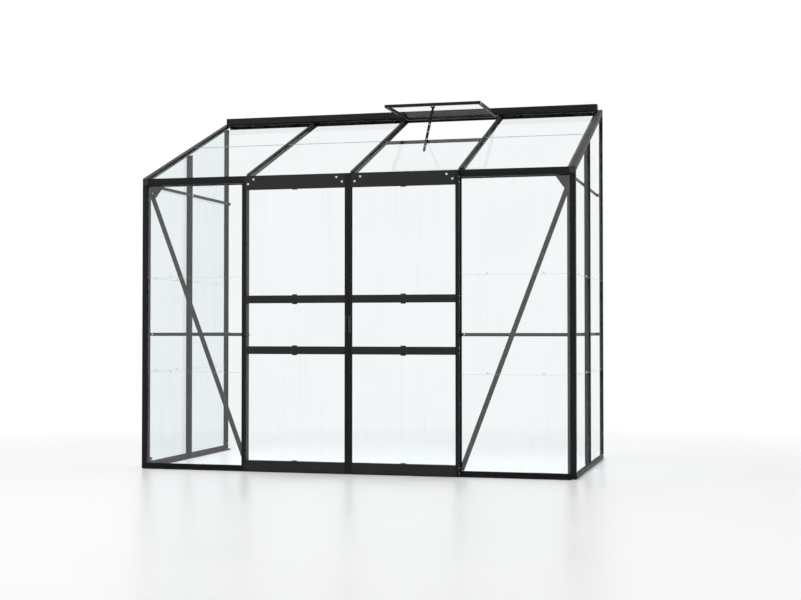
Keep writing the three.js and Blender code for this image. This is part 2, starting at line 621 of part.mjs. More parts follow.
const railStart = stileWidth + seat;
const railEnd = leafWidth - stileWidth - seat;
const trackTop = gutterBottom + 4 + trackLip;
const axleHeight = trackTop + roller.running + seat;
const rollerY = 1 - trackReach;
for (const [name, side] of [["left", -1], ["right", 1]]) {
  const place = (at) => side * (leafWidth + leafGap / 2 - at);
  const between = (section, from, to) => {
    const [a, b] = [place(from), place(to)].sort((p, q) => p - q);
    return runX(section, a, b);
  };
  const label = (piece) => `${name}_door_${piece}`;
  const outward = X.clone().multiplyScalar(-side);
  const stileRun = leafTop - stileFoot;
  const stile = (at, direction) => {
    const origin = [place(at), leafFront, direction.x > 0 ? stileFoot : leafTop];
    return run(stileSection(), stileRun, origin, direction, Y);
  };
  add(label("outer_stile"), stile(0, outward), frameFinish);
  add(label("meeting_stile"), stile(leafWidth, outward.clone().negate()), frameFinish);

  const axles = [roller.inset, leafWidth - roller.inset].map((at) => {
    const reach = rollerY + roller.width / 2 + 2 - leafFront - 1;
    const axle = new THREE.CylinderGeometry(axleRadius, axleRadius, reach, 16);
    return solid(axle.translate(place(at), leafFront + 1 + reach / 2, axleHeight));
  });
  const topRail = solid(between(topRailSection(), railStart, railEnd));
  add(label("top_rail"), geometryOf(axles.reduce((body, axle) => body.add(axle), topRail)), frameFinish);
  add(label("upper_rail"), between(crossRailSection(...midRails[0]), railStart, railEnd), frameFinish);
  add(label("lower_rail"), between(crossRailSection(...midRails[1]), railStart, railEnd), frameFinish);
  add(label("bottom_rail"), between(bottomRailSection(), railStart, railEnd), frameFinish);

  const paneFront = leafFront + (glassSlot[0] + glassSlot[1] - glass) / 2;
  const [paneLeft, paneRight] = [place(stileWidth - glassBite), place(leafWidth - stileWidth + glassBite)].sort((a, b) => a - b);
  add(label("glass"), block(paneLeft, paneRight, paneFront, paneFront + glass,
    leafFoot + bottomRailHeight - glassBite, leafTop - topRailHeight + glassBite), glassFinish);

  const gripAt = place(leafWidth - handle.width / 2 - 1.5);
  add(label("handle"), run(handleSection(), handle.height, [gripAt, 0, handle.foot], X, Y), plasticFinish);

  [["outer", roller.inset], ["meeting", leafWidth - roller.inset]].forEach(([end, at]) => {
    const mesh = add(label(`${end}_roller`), rollerGeometry(), wheelFinish);
    mesh.position.set(place(at), rollerY, axleHeight);
  });
}

// ---------------------------------------------------------------- the part
frame.position.y = -(depth + handle.front) / 2;
const part = new THREE.Group();
part.add(frame);
export default part;
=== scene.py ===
"""Looks of a lean-to greenhouse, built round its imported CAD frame.

The frame's members, panes, doors and vent come in as fixed solids. This script gives each of them its
finish, and adds the small pieces that hold them together: bolts, screws, seals, clips, caps and brushes.
"""

from __future__ import annotations

import json
import logging
import math
from dataclasses import dataclass, field
from enum import Enum
from typing import Iterable, Sequence

import bmesh
import bpy
from mathutils import Matrix, Vector

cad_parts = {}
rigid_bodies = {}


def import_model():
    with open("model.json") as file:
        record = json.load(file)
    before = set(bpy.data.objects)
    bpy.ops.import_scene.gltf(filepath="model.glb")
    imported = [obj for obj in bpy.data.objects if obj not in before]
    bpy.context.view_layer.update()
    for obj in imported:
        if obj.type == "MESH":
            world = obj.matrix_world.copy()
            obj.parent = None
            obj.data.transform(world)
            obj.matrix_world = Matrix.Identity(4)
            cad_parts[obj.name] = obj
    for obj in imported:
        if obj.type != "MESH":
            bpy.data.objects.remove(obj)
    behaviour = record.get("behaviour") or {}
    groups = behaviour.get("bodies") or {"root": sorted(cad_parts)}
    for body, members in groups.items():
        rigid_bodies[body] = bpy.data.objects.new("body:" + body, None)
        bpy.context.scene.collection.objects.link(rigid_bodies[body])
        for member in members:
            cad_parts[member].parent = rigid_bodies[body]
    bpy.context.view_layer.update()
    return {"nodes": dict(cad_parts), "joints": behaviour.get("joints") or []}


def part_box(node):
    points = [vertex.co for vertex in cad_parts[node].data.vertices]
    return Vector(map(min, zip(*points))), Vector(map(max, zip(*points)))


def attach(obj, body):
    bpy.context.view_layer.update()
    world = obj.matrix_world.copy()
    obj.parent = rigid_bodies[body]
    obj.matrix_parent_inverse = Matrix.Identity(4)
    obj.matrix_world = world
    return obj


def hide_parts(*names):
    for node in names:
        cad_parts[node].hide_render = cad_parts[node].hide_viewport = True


log = logging.getLogger("greenhouse")

MM = 0.001
X_AXIS, Y_AXIS, Z_AXIS = Vector((1, 0, 0)), Vector((0, 1, 0)), Vector((0, 0, 1))
Colour = tuple[float, float, float]
# The roof bars, the two of them beside the vent, the roof's long panes, and the bays of a gable.
ROOF_BARS = (1, 2, 3)
VENT_BARS = (2, 3)
FULL_ROOF_PANES = (1, 2, 4)
GABLE_BAYS = ("front", "back")


class Side(Enum):
    """The left or right half of the greenhouse, seen from the front."""

    LEFT = -1
    RIGHT = 1

    @property
    def label(self) -> str:
        """The side's word in node and piece names."""
        return self.name.lower()

    def box(self, part: str) -> Box:
        """The box of this side's copy of a CAD node."""
        return Box.of(f"{self.label}_{part}")

    def outer(self, box: Box) -> float:
        """The x of a box's face towards this side's gable."""
        return box.low.x if self is Side.LEFT else box.high.x

    def inner(self, box: Box) -> float:
        """The x of a box's face towards the middle."""
        return box.high.x if self is Side.LEFT else box.low.x


class Body(Enum):
    """The CAD bodies that the added pieces ride on."""

    FRAME = "frame"
    LEFT_DOOR = "left_door"
    RIGHT_DOOR = "right_door"
    VENT = "vent"


class Slot(Enum):
    """The record's material slots, one named for each added piece."""

    FRAME = "frame"
    DOOR = "door_frame"
    GLASS = "glass"
    HANDLE = "handle"


# ---------------------------------------------------------------- shader groups and finishes
class ShaderTree:
    """A node tree with short ways to add and join nodes."""

    def __init__(self, tree: bpy.types.NodeTree) -> None:
        """Starts on an empty tree."""
        self.tree = tree
        tree.nodes.clear()

    def add(self, kind: str, **settings: object) -> bpy.types.Node:
        """Adds a node.

        Args:
            kind: The node's type.
            settings: Properties of the node, by name.

        Returns:
            The new node.
        """
        node = self.tree.nodes.new(kind)
        for name, value in settings.items():
            setattr(node, name, value)
        return node

    def feed(self, value: object, socket: bpy.types.NodeSocket) -> None:
        """Links a socket to another one, or sets a plain value on it."""
        if isinstance(value, bpy.types.NodeSocket):
            self.tree.links.new(value, socket)
        else:
            socket.default_value = value

    def noise(self, scale: object, detail: float, coordinates: bpy.types.NodeSocket) -> bpy.types.NodeSocket:
        """Noise from 0 to 1 on the given coordinates."""
        node = self.add("ShaderNodeTexNoise")
        self.feed(coordinates, node.inputs["Vector"])
        self.feed(scale, node.inputs["Scale"])
        self.feed(detail, node.inputs["Detail"])
        return node.outputs["Fac"]

    def remap(
        self, value: object, low: float, high: float, to_low: object, to_high: object
    ) -> bpy.types.NodeSocket:
        """Maps a value from one range to another, held at its ends."""
        node = self.add("ShaderNodeMapRange")
        settings = {"Value": value, "From Min": low, "From Max": high, "To Min": to_low, "To Max": to_high}
        for name, source in settings.items():
            self.feed(source, node.inputs[name])
        return node.outputs["Result"]

    def math(self, operation: str, first: object, second: object) -> bpy.types.NodeSocket:
        """The result of one sum on two values."""
        node = self.add("ShaderNodeMath", operation=operation)
        self.feed(first, node.inputs[0])
        self.feed(second, node.inputs[1])
        return node.outputs[0]

    def mix(self, share: object, first: object, second: object) -> bpy.types.NodeSocket:
        """A colour between two others."""
        node = self.add("ShaderNodeMix", data_type="RGBA")
        self.feed(share, node.inputs["Factor"])
        self.feed(first, node.inputs[6])
        self.feed(second, node.inputs[7])
        return node.outputs[2]

    def coordinates(self, stretch: Colour = (1, 1, 1)) -> bpy.types.NodeSocket:
        """Object coordinates, stretched by a factor along each axis."""
        place = self.add("ShaderNodeTexCoord")
        turn = self.add("ShaderNodeMapping")
        self.feed(place.outputs["Object"], turn.inputs["Vector"])
        turn.inputs["Scale"].default_value = stretch
        return turn.outputs["Vector"]


class Effect(Enum):
    """The surface effects that finishes share, each one a node group."""

    POWDER = "powder texture"
    DUST = "settled dust"
    METAL = "metal marks"
    MOULDED = "moulded skin"
    FILM = "glass film"


BLOOM_COLOUR = (0.34, 0.34, 0.35, 1.0)
FLOW_COLOUR = (0.055, 0.056, 0.058, 1.0)
FILM_COLOUR = (0.83, 0.86, 0.87, 1.0)
FLOAT, COLOUR = "NodeSocketFloat", "NodeSocketColor"
EFFECT_SOCKETS: dict[Effect, tuple[dict[str, str], dict[str, str]]] = {
    Effect.POWDER: (
        {"Color": COLOUR, "Roughness": FLOAT, "Grain Scale": FLOAT, "Mottle": FLOAT},
        {"Color": COLOUR, "Roughness": FLOAT, "Height": FLOAT},
    ),
    Effect.DUST: (
        {"Color": COLOUR, "Roughness": FLOAT, "Amount": FLOAT, "Dust Color": COLOUR},
        {"Color": COLOUR, "Roughness": FLOAT},
    ),
    Effect.METAL: (
        {"Color": COLOUR, "Roughness": FLOAT, "Mark Scale": FLOAT, "Tarnish": FLOAT},
        {"Color": COLOUR, "Roughness": FLOAT, "Height": FLOAT},
    ),
    Effect.MOULDED: (
        {"Color": COLOUR, "Roughness": FLOAT, "Grain Scale": FLOAT},
        {"Color": COLOUR, "Roughness": FLOAT, "Height": FLOAT},
    ),
    Effect.FILM: (
        {"Color": COLOUR, "Roughness": FLOAT, "Amount": FLOAT},
        {"Color": COLOUR, "Roughness": FLOAT},
    ),
}


class EffectLibrary:
    """Builds each shared effect once, as a shader node group."""

    def __init__(self) -> None:
        """Starts with no groups."""
        self.built: dict[Effect, bpy.types.NodeTree] = {}

    def group(self, effect: Effect) -> bpy.types.NodeTree:
        """The node group of an effect, made when it is first asked for.

        Args:
            effect: The effect wanted.

        Returns:
            Its node tree.
        """
        if effect not in self.built:
            tree = bpy.data.node_groups.new(effect.value, "ShaderNodeTree")
            inputs, outputs = EFFECT_SOCKETS[effect]
            for name, kind in inputs.items():
                tree.interface.new_socket(name=name, in_out="INPUT", socket_type=kind)
            for name, kind in outputs.items():
                tree.interface.new_socket(name=name, in_out="OUTPUT", socket_type=kind)
            shader = ShaderTree(tree)
            source = shader.add("NodeGroupInput").outputs
            target = shader.add("NodeGroupOutput").inputs
            maker = {
                Effect.POWDER: self.powder,
                Effect.DUST: self.dust,
                Effect.METAL: self.metal,
                Effect.MOULDED: self.moulded,
                Effect.FILM: self.film,
            }[effect]
            maker(shader, source, target)
            self.built[effect] = tree
        return self.built[effect]

    @staticmethod
    def powder(shader: ShaderTree, source: bpy.types.NodeOutputs, target: bpy.types.NodeInputs) -> None:
        """Baked powder coat: a fine orange peel, a slow change of shade and a changing gloss."""
        place = shader.coordinates()
        peel = shader.noise(source["Grain Scale"], 3.0, place)
        cloud = shader.noise(7.0, 2.0, place)
        speck = shader.noise(900.0, 1.0, place)
        shade = shader.math("MULTIPLY", shader.remap(cloud, 0.3, 0.7, -1.0, 1.0), source["Mottle"])
        fleck = shader.math("MULTIPLY", shader.remap(speck, 0.35, 0.65, -0.6, 0.6), source["Mottle"])
        gain = shader.math("ADD", 1.0, shader.math("ADD", shade, fleck))
        tint = shader.add("ShaderNodeVectorMath", operation="SCALE")
        shader.feed(source["Color"], tint.inputs[0])
        shader.feed(gain, tint.inputs["Scale"])
        shader.feed(tint.outputs[0], target["Color"])
        gloss = shader.remap(peel, 0.35, 0.65, -0.05, 0.06)
        slow = shader.remap(cloud, 0.3, 0.7, -0.04, 0.05)
        rough = shader.math("ADD", source["Roughness"], shader.math("ADD", gloss, slow))
        shader.feed(rough, target["Roughness"])
        shader.feed(peel, target["Height"])

    @staticmethod
    def dust(shader: ShaderTree, source: bpy.types.NodeOutputs, target: bpy.types.NodeInputs) -> None:
        """A thin film of dust that lies on faces turned up, in soft patches."""
        normal = shader.add("ShaderNodeSeparateXYZ")
        shader.feed(shader.add("ShaderNodeNewGeometry").outputs["Normal"], normal.inputs[0])
        lying = shader.remap(normal.outputs["Z"], 0.2, 0.95, 0.0, 1.0)
        patch = shader.remap(shader.noise(9.0, 5.0, shader.coordinates()), 0.35, 0.7, 0.2, 1.0)
        cover = shader.math("MULTIPLY", shader.math("MULTIPLY", lying, patch), source["Amount"])
        shader.feed(shader.mix(cover, source["Color"], source["Dust Color"]), target["Color"])
        settled = shader.math("ADD", source["Roughness"], shader.math("MULTIPLY", cover, 0.4))
        shader.feed(settled, target["Roughness"])

    @staticmethod
    def metal(shader: ShaderTree, source: bpy.types.NodeOutputs, target: bpy.types.NodeInputs) -> None:
        """Plated or rolled metal: fine marks one way, and a duller bloom in patches."""
        streak = shader.noise(source["Mark Scale"], 4.0, shader.coordinates((1, 1, 0.12)))
        bloom = shader.remap(shader.noise(160.0, 3.0, shader.coordinates()), 0.4, 0.65, 0.0, 1.0)
        dull = shader.math("MULTIPLY", bloom, source["Tarnish"])
        shader.feed(shader.mix(dull, source["Color"], BLOOM_COLOUR), target["Color"])
        marks = shader.remap(streak, 0.3, 0.7, -0.06, 0.1)
        grain = shader.math("ADD", source["Roughness"], marks)
        shader.feed(shader.math("ADD", grain, shader.math("MULTIPLY", dull, 0.25)), target["Roughness"])
        shader.feed(streak, target["Height"])

    @staticmethod
    def moulded(shader: ShaderTree, source: bpy.types.NodeOutputs, target: bpy.types.NodeInputs) -> None:
        """Moulded plastic or rubber: a fine stipple with a faint flow of shade."""
        place = shader.coordinates()
        cells = shader.add("ShaderNodeTexVoronoi")
        shader.feed(place, cells.inputs["Vector"])
        shader.feed(source["Grain Scale"], cells.inputs["Scale"])
        flow = shader.remap(shader.noise(24.0, 3.0, place), 0.35, 0.65, 0.0, 0.35)
        shader.feed(shader.mix(flow, source["Color"], FLOW_COLOUR), target["Color"])
        stipple = shader.remap(cells.outputs["Distance"], 0.0, 0.6, -0.05, 0.08)
        shader.feed(shader.math("ADD", source["Roughness"], stipple), target["Roughness"])
        shader.feed(cells.outputs["Distance"], target["Height"])

    @staticmethod
    def film(shader: ShaderTree, source: bpy.types.NodeOutputs, target: bpy.types.NodeInputs) -> None:
        """The faint film that weather leaves on glass, in slow clouds and thin runs."""
        cloud = shader.remap(shader.noise(2.2, 4.0, shader.coordinates()), 0.4, 0.7, 0.0, 1.0)
        runs = shader.remap(shader.noise(40.0, 2.0, shader.coordinates((1, 1, 0.04))), 0.52, 0.7, 0.0, 1.0)
        cover = shader.math("MULTIPLY", shader.math("ADD", cloud, runs), source["Amount"])
        shader.feed(shader.mix(cover, source["Color"], FILM_COLOUR), target["Color"])
        blur = shader.math("MULTIPLY", cover, 0.02)
        shader.feed(shader.math("ADD", source["Roughness"], blur), target["Roughness"])


EFFECTS = EffectLibrary()


def start_material(name: str) -> tuple[bpy.types.Material, ShaderTree, bpy.types.Node, bpy.types.Node]:
    """A new material with a Principled shader and an output that isn't joined yet.

    Args:
        name: The material's name.

    Returns:
        The material, its tree, the shader node and the output node.
    """
    material = bpy.data.materials.new(name)
    material.use_nodes = True
    shader = ShaderTree(material.node_tree)
    surface = shader.add("ShaderNodeBsdfPrincipled")
    output = shader.add("ShaderNodeOutputMaterial")
    return material, shader, surface, output


def place_effect(shader: ShaderTree, effect: Effect, values: dict[str, object]) -> bpy.types.NodeOutputs:
    """Adds a shared effect to a material.

    Args:
        shader: The material's tree.
        effect: Which effect.
        values: A value or a socket for each of its inputs.

    Returns:
        The effect's outputs.
    """
    node = shader.add("ShaderNodeGroup", node_tree=EFFECTS.group(effect))
    for name, value in values.items():
        shader.feed(value, node.inputs[name])
    return node.outputs


def add_bump(
    shader: ShaderTree, surface: bpy.types.Node, height: bpy.types.NodeSocket, strength: float, depth: float
) -> None:
    """Joins a height to the shader's normal through a bump node."""
    bump = shader.add("ShaderNodeBump")
    bump.inputs["Strength"].default_value = strength
    bump.inputs["Distance"].default_value = depth
    shader.feed(height, bump.inputs["Height"])
    shader.feed(bump.outputs["Normal"], surface.inputs["Normal"])


@dataclass(frozen=True)
class PowderCoat:
    """Baked powder coat on aluminium."""

    name: str
    colour: Colour
    roughness: float = 0.44
    specular: float = 0.2
    grain_scale: float = 420.0
    mottle: float = 0.12
    dust: float = 0.05
    dust_colour: Colour = (0.32, 0.31, 0.29)
    bump_strength: float = 0.25
    bump_depth: float = 0.2 * MM

    def material(self) -> bpy.types.Material:
        """Builds the material."""
        material, shader, surface, output = start_material(self.name)
        coat = place_effect(shader, Effect.POWDER, {
            "Color": (*self.colour, 1.0), "Roughness": self.roughness,
            "Grain Scale": self.grain_scale, "Mottle": self.mottle,
        })
        dusty = place_effect(shader, Effect.DUST, {
            "Color": coat["Color"], "Roughness": coat["Roughness"],
            "Amount": self.dust, "Dust Color": (*self.dust_colour, 1.0),
        })
        shader.feed(dusty["Color"], surface.inputs["Base Color"])
        shader.feed(dusty["Roughness"], surface.inputs["Roughness"])
        surface.inputs["Specular IOR Level"].default_value = self.specular
        add_bump(shader, surface, coat["Height"], self.bump_strength, self.bump_depth)
        shader.feed(surface.outputs[0], output.inputs["Surface"])
        return material


@dataclass(frozen=True)
class PlatedSteel:
    """Bright zinc plate or stainless steel."""

    name: str
    colour: Colour
    roughness: float = 0.28
    mark_scale: float = 700.0
    tarnish: float = 0.35
    bump_strength: float = 0.2
    bump_depth: float = 0.1 * MM

    def material(self) -> bpy.types.Material:
        """Builds the material."""
        material, shader, surface, output = start_material(self.name)
        metal = place_effect(shader, Effect.METAL, {
            "Color": (*self.colour, 1.0), "Roughness": self.roughness,
            "Mark Scale": self.mark_scale, "Tarnish": self.tarnish,
        })
        shader.feed(metal["Color"], surface.inputs["Base Color"])
        shader.feed(metal["Roughness"], surface.inputs["Roughness"])
        surface.inputs["Metallic"].default_value = 1.0
        add_bump(shader, surface, metal["Height"], self.bump_strength, self.bump_depth)
        shader.feed(surface.outputs[0], output.inputs["Surface"])
        return material


@dataclass(frozen=True)
class Moulded:
    """Moulded plastic or extruded rubber."""

    name: str
    colour: Colour
    roughness: float = 0.55
    specular: float = 0.35
    grain_scale: float = 1400.0
    bump_strength: float = 0.3
    bump_depth: float = 0.15 * MM

    def material(self) -> bpy.types.Material:
        """Builds the material."""
        material, shader, surface, output = start_material(self.name)
        skin = place_effect(shader, Effect.MOULDED, {
            "Color": (*self.colour, 1.0), "Roughness": self.roughness, "Grain Scale": self.grain_scale,
        })
        shader.feed(skin["Color"], surface.inputs["Base Color"])
        shader.feed(skin["Roughness"], surface.inputs["Roughness"])
        surface.inputs["Specular IOR Level"].default_value = self.specular
        add_bump(shader, surface, skin["Height"], self.bump_strength, self.bump_depth)
        shader.feed(surface.outputs[0], output.inputs["Surface"])
        return material


@dataclass(frozen=True)
class PaneGlass:
    """Clear horticultural glass, which lets the lamps' light through.

    A thin flat pane doesn't bend what is seen through it, so its mirror is a coat, which is held down where
    the pane is seen edge-on.
    """

    name: str
    colour: Colour
    film: float = 0.25
    shadow_colour: Colour = (0.9, 0.93, 0.93)
    mirror_ior: float = 1.52
    steady_facing: float = 0.3
    edge_facing: float = 0.84
    edge_mirror: float = 0.07

    def material(self) -> bpy.types.Material:
        """Builds the material."""
        material, shader, surface, output = start_material(self.name)
        film = place_effect(shader, Effect.FILM, {
            "Color": (*self.colour, 1.0), "Roughness": 0.0, "Amount": self.film,
        })
        shader.feed(film["Color"], surface.inputs["Base Color"])
        shader.feed(film["Roughness"], surface.inputs["Roughness"])
        surface.inputs["Transmission Weight"].default_value = 1.0
        surface.inputs["IOR"].default_value = 1.0
        surface.inputs["Coat IOR"].default_value = self.mirror_ior
        surface.inputs["Coat Roughness"].default_value = 0.0
        facing = shader.add("ShaderNodeLayerWeight").outputs["Facing"]
        mirror = shader.remap(facing, self.steady_facing, self.edge_facing, 1.0, self.edge_mirror)
        shader.feed(mirror, surface.inputs["Coat Weight"])
        clear = shader.add("ShaderNodeBsdfTransparent")
        clear.inputs["Color"].default_value = (*self.shadow_colour, 1.0)
        blend = shader.add("ShaderNodeMixShader")
        shader.feed(shader.add("ShaderNodeLightPath").outputs["Is Shadow Ray"], blend.inputs[0])
        shader.feed(surface.outputs[0], blend.inputs[1])
        shader.feed(clear.outputs[0], blend.inputs[2])
        shader.feed(blend.outputs[0], output.inputs["Surface"])
        return material


Finish = PowderCoat | PlatedSteel | Moulded | PaneGlass

FRAME_COAT = PowderCoat("black powder coat", (0.0072, 0.0074, 0.0077), specular=0.12)
DOOR_COAT = PowderCoat("door powder coat", (0.0105, 0.0108, 0.0112), roughness=0.5)
GLASS = PaneGlass("clear glass", (0.9, 0.93, 0.94))
GROUND_EDGE = Moulded("ground glass edge", (0.42, 0.55, 0.52), roughness=0.3, grain_scale=900.0)
ZINC = PlatedSteel("bright zinc", (0.82, 0.83, 0.84))
STAINLESS = PlatedSteel("stainless clip", (0.72, 0.73, 0.74), roughness=0.24, tarnish=0.15)
HANDLE_PLASTIC = Moulded("handle plastic", (0.019, 0.0195, 0.0205), roughness=0.5)
CAP_PLASTIC = Moulded("cap plastic", (0.014, 0.0145, 0.015), roughness=0.6, specular=0.25)
SEAL_RUBBER = Moulded("seal rubber", (0.01, 0.01, 0.0105), roughness=0.75, specular=0.15, grain_scale=2200.0)
BRUSH_PILE = Moulded("brush pile", (0.02, 0.0205, 0.021), roughness=0.9, specular=0.1, grain_scale=3200.0)
WHEEL_NYLON = Moulded("wheel nylon", (0.6, 0.6, 0.575), roughness=0.42)


class Paintbox:
    """Keeps one material for each finish."""

    def __init__(self) -> None:
        """Starts with no materials."""
        self.made: dict[str, bpy.types.Material] = {}

    def material(self, finish: Finish) -> bpy.types.Material:
        """The material of a finish, made once."""
        if finish.name not in self.made:
            self.made[finish.name] = finish.material()
        return self.made[finish.name]


PAINTS = Paintbox()


# ---------------------------------------------------------------- mesh building
@dataclass(frozen=True)
class Box:
    """The box that a CAD node fills, in metres."""

    low: Vector
    high: Vector

    @classmethod
    def of(cls, node: str) -> Box:
        """Reads a node's box from the frame."""
        return cls(*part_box(node))

    @property
    def centre(self) -> Vector:
        """The box's middle."""
        return (self.low + self.high) / 2

    @property
    def size(self) -> Vector:
        """The box's three sides."""
        return self.high - self.low


class Shape:
    """A mesh being built from bmesh operators, which ends as one piece of the greenhouse."""

    def __init__(self, name: str) -> None:
        """Starts an empty mesh under the name that its piece will have."""
        self.name = name
        self.mesh = bmesh.new()

    def soften(self, edges: Iterable[bmesh.types.BMEdge], width: float, segments: int = 2) -> None:
        """Rounds the given edges off."""
        bmesh.ops.bevel(
            self.mesh, geom=list(edges), offset=width, segments=segments, affect="EDGES", profile=0.5,
            offset_type="OFFSET", clamp_overlap=True, material=-1,
        )

    def block(self, low: Vector, high: Vector, ease: float) -> None:
        """Adds a block with rounded edges.

        Args:
            low: One corner.
            high: The opposite corner.
            ease: How far its edges are rounded.
        """
        made = bmesh.ops.create_cube(self.mesh, size=1.0)["verts"]
        low, high = Vector(map(min, low, high)), Vector(map(max, low, high))
        bmesh.ops.scale(self.mesh, vec=high - low, verts=made)
        bmesh.ops.translate(self.mesh, vec=(low + high) / 2, verts=made)
        self.soften({edge for vert in made for edge in vert.link_edges}, ease)

    def prism(self, outline: Sequence[Vector], along: Vector, ease: float = 0.0) -> list[bmesh.types.BMVert]:
        """Adds a flat outline, pushed out along a vector.

        Args:
            outline: The outline's corners, in order.
            along: How far and which way it is pushed.
            ease: How far the long edges are rounded.

        Returns:
            The vertices of both ends.
        """
        corners = [self.mesh.verts.new(corner) for corner in outline]
        face = self.mesh.faces.new(corners)
        pushed = bmesh.ops.extrude_face_region(self.mesh, geom=[face])["geom"]
        ends = [item for item in pushed if isinstance(item, bmesh.types.BMVert)]
        bmesh.ops.translate(self.mesh, vec=along, verts=ends)
        everything = corners + ends
        faces = {near for vert in everything for near in vert.link_faces}
        bmesh.ops.recalc_face_normals(self.mesh, faces=list(faces))
        if ease > 0:
            long_edges = {
                edge for vert in corners for edge in vert.link_edges
                if abs((edge.verts[1].co - edge.verts[0].co).normalized().dot(along.normalized())) > 0.99
            }
            self.soften(long_edges, ease)
        return everything

    def turned(self, profile: Sequence[tuple[float, float]], place: Matrix, steps: int) -> None:
        """Adds a round form from its half profile, spun about its own Z.

        Args:
            profile: Radius and height of each point, from the axis round to the axis.
            place: Where the form goes.
            steps: How many flats go round it.
        """
        verts = [self.mesh.verts.new((radius, 0.0, height)) for radius, height in profile]
        edges = [self.mesh.edges.new(pair) for pair in zip(verts, verts[1:])]
        spun = bmesh.ops.spin(
            self.mesh, geom=verts + edges, cent=(0, 0, 0), axis=(0, 0, 1), dvec=(0, 0, 0),
            angle=2 * math.pi, steps=steps, use_merge=True, use_duplicate=False,
        )
        last = [item for item in spun["geom_last"] if isinstance(item, bmesh.types.BMVert)]
        made = self.connected(verts + last)
        bmesh.ops.remove_doubles(self.mesh, verts=made, dist=1e-6)
        made = self.connected([vert for vert in made if vert.is_valid])
        faces = {face for vert in made for face in vert.link_faces}
        bmesh.ops.recalc_face_normals(self.mesh, faces=list(faces))
        for face in faces:
            face.smooth = True
        bmesh.ops.transform(self.mesh, matrix=place, verts=made)

    @staticmethod
    def connected(seeds: Iterable[bmesh.types.BMVert]) -> list[bmesh.types.BMVert]:
        """All vertices that edges join to the given ones."""
        found: set[bmesh.types.BMVert] = set()
        waiting = [vert for vert in seeds if vert.is_valid]
        while waiting:
            vert = waiting.pop()
            if vert in found:
                continue
            found.add(vert)
            waiting.extend(edge.other_vert(vert) for edge in vert.link_edges)
        return list(found)

    def place(self, finish: Finish, body: Body, slot: Slot, replaces: Sequence[str] = ()) -> bpy.types.Object:
        """Ends the mesh as a dressed piece that rides on a body.

        Args:
            finish: The piece's finish.
            body: The CAD body that carries it.
            slot: The record's slot that its finish stands for. Not used.
            replaces: CAD nodes that the piece is shown instead of.

        Returns:
            The new object.
        """
        data = bpy.data.meshes.new(self.name)
        self.mesh.to_mesh(data)
        self.mesh.free()
        piece = bpy.data.objects.new(self.name, data)
        bpy.context.scene.collection.objects.link(piece)
        data.materials.append(PAINTS.material(finish))
        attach(piece, body.value)
        if replaces:
            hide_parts(*replaces)
        log.info("%s: %d faces on %s", self.name, len(data.polygons), body.value)
        return piece


def facing(spot: Vector, outward: Vector) -> Matrix:
    """A placement that puts a form's own origin at a spot and its Z along a direction."""
    turn = outward.to_track_quat("Z", "Y").to_matrix().to_4x4()
    return Matrix.Translation(spot) @ turn


@dataclass(frozen=True)
class Fastener:
    """A bolt, nut or screw head on its washer."""

    head_radius: float = 4.6 * MM
    head_height: float = 3.0 * MM
    washer_radius: float = 6.4 * MM
    washer_height: float = 0.9 * MM
    socket_radius: float = 1.6 * MM
    socket_depth: float = 1.3 * MM
    shank_radius: float = 2.6 * MM
    shank_reach: float = 1.6 * MM
    washer_edge: float = 0.6
    washer_slope: float = 0.3 * MM
    dome_degrees: tuple[int, ...] = (25, 50, 72)
    socket_sunk: float = 0.05 * MM
    socket_point: float = 0.3 * MM
    nut_ease: float = 0.35 * MM
    shank_slope: tuple[float, float] = (0.5 * MM, 0.6 * MM)
    shank_steps: int = 10
    steps: int = 14

    def washer(self) -> list[tuple[float, float]]:
        """The washer's half profile, as far as the foot of the head."""
        rim, base = self.washer_radius, self.washer_height
        return [(0.0, 0.0), (rim, 0.0), (rim, base * self.washer_edge), (rim - self.washer_slope, base)]

    def dome(self, shape: Shape, spot: Vector, outward: Vector) -> None:
        """Adds a domed head with a drive recess, standing on a face."""
        base, top = self.washer_height, self.washer_height + self.head_height
        profile = self.washer() + [(self.head_radius, base)]
        for angle in map(math.radians, self.dome_degrees):
            profile.append((self.head_radius * math.cos(angle), base + self.head_height * math.sin(angle)))
        floor = top - self.socket_depth
        profile += [(self.socket_radius, top - self.socket_sunk), (self.socket_radius, floor)]
        profile.append((0.0, floor - self.socket_point))
        shape.turned(profile, facing(spot, outward), self.steps)

    def hexagon(self, shape: Shape, spot: Vector, outward: Vector) -> None:
        """Adds a washer and a six-sided nut with the bolt's end in it."""
        place = facing(spot, outward)
        base, top = self.washer_height, self.washer_height + self.head_height
        shape.turned(self.washer() + [(0.0, base)], place, self.steps)
        nut = bmesh.ops.create_cone(
            shape.mesh, cap_ends=True, cap_tris=False, segments=6, radius1=self.head_radius,
            radius2=self.head_radius, depth=self.head_height,
            matrix=place @ Matrix.Translation((0, 0, (base + top) / 2)),
        )["verts"]
        shape.soften({edge for vert in nut for edge in vert.link_edges}, self.nut_ease, 1)
        radius, tip, (inset, drop) = self.shank_radius, top + self.shank_reach, self.shank_slope
        end = [(0.0, base), (radius, base), (radius, tip - drop), (radius - inset, tip), (0.0, tip)]
        shape.turned(end, place, self.shank_steps)


FRAME_BOLT = Fastener()
SMALL_SCREW = Fastener(
    head_radius=3.4 * MM, head_height=2.0 * MM, washer_radius=3.6 * MM, washer_height=0.3 * MM,
    socket_radius=1.1 * MM, socket_depth=0.9 * MM, steps=12,
)
WALL_SCREW = Fastener(head_height=3.2 * MM, washer_radius=5.8 * MM, washer_height=1.0 * MM)


def spaced(first: float, last: float, count: int) -> list[float]:
    """Evenly spaced values, both ends included."""
    return [first + (last - first) * step / (count - 1) for step in range(count)]


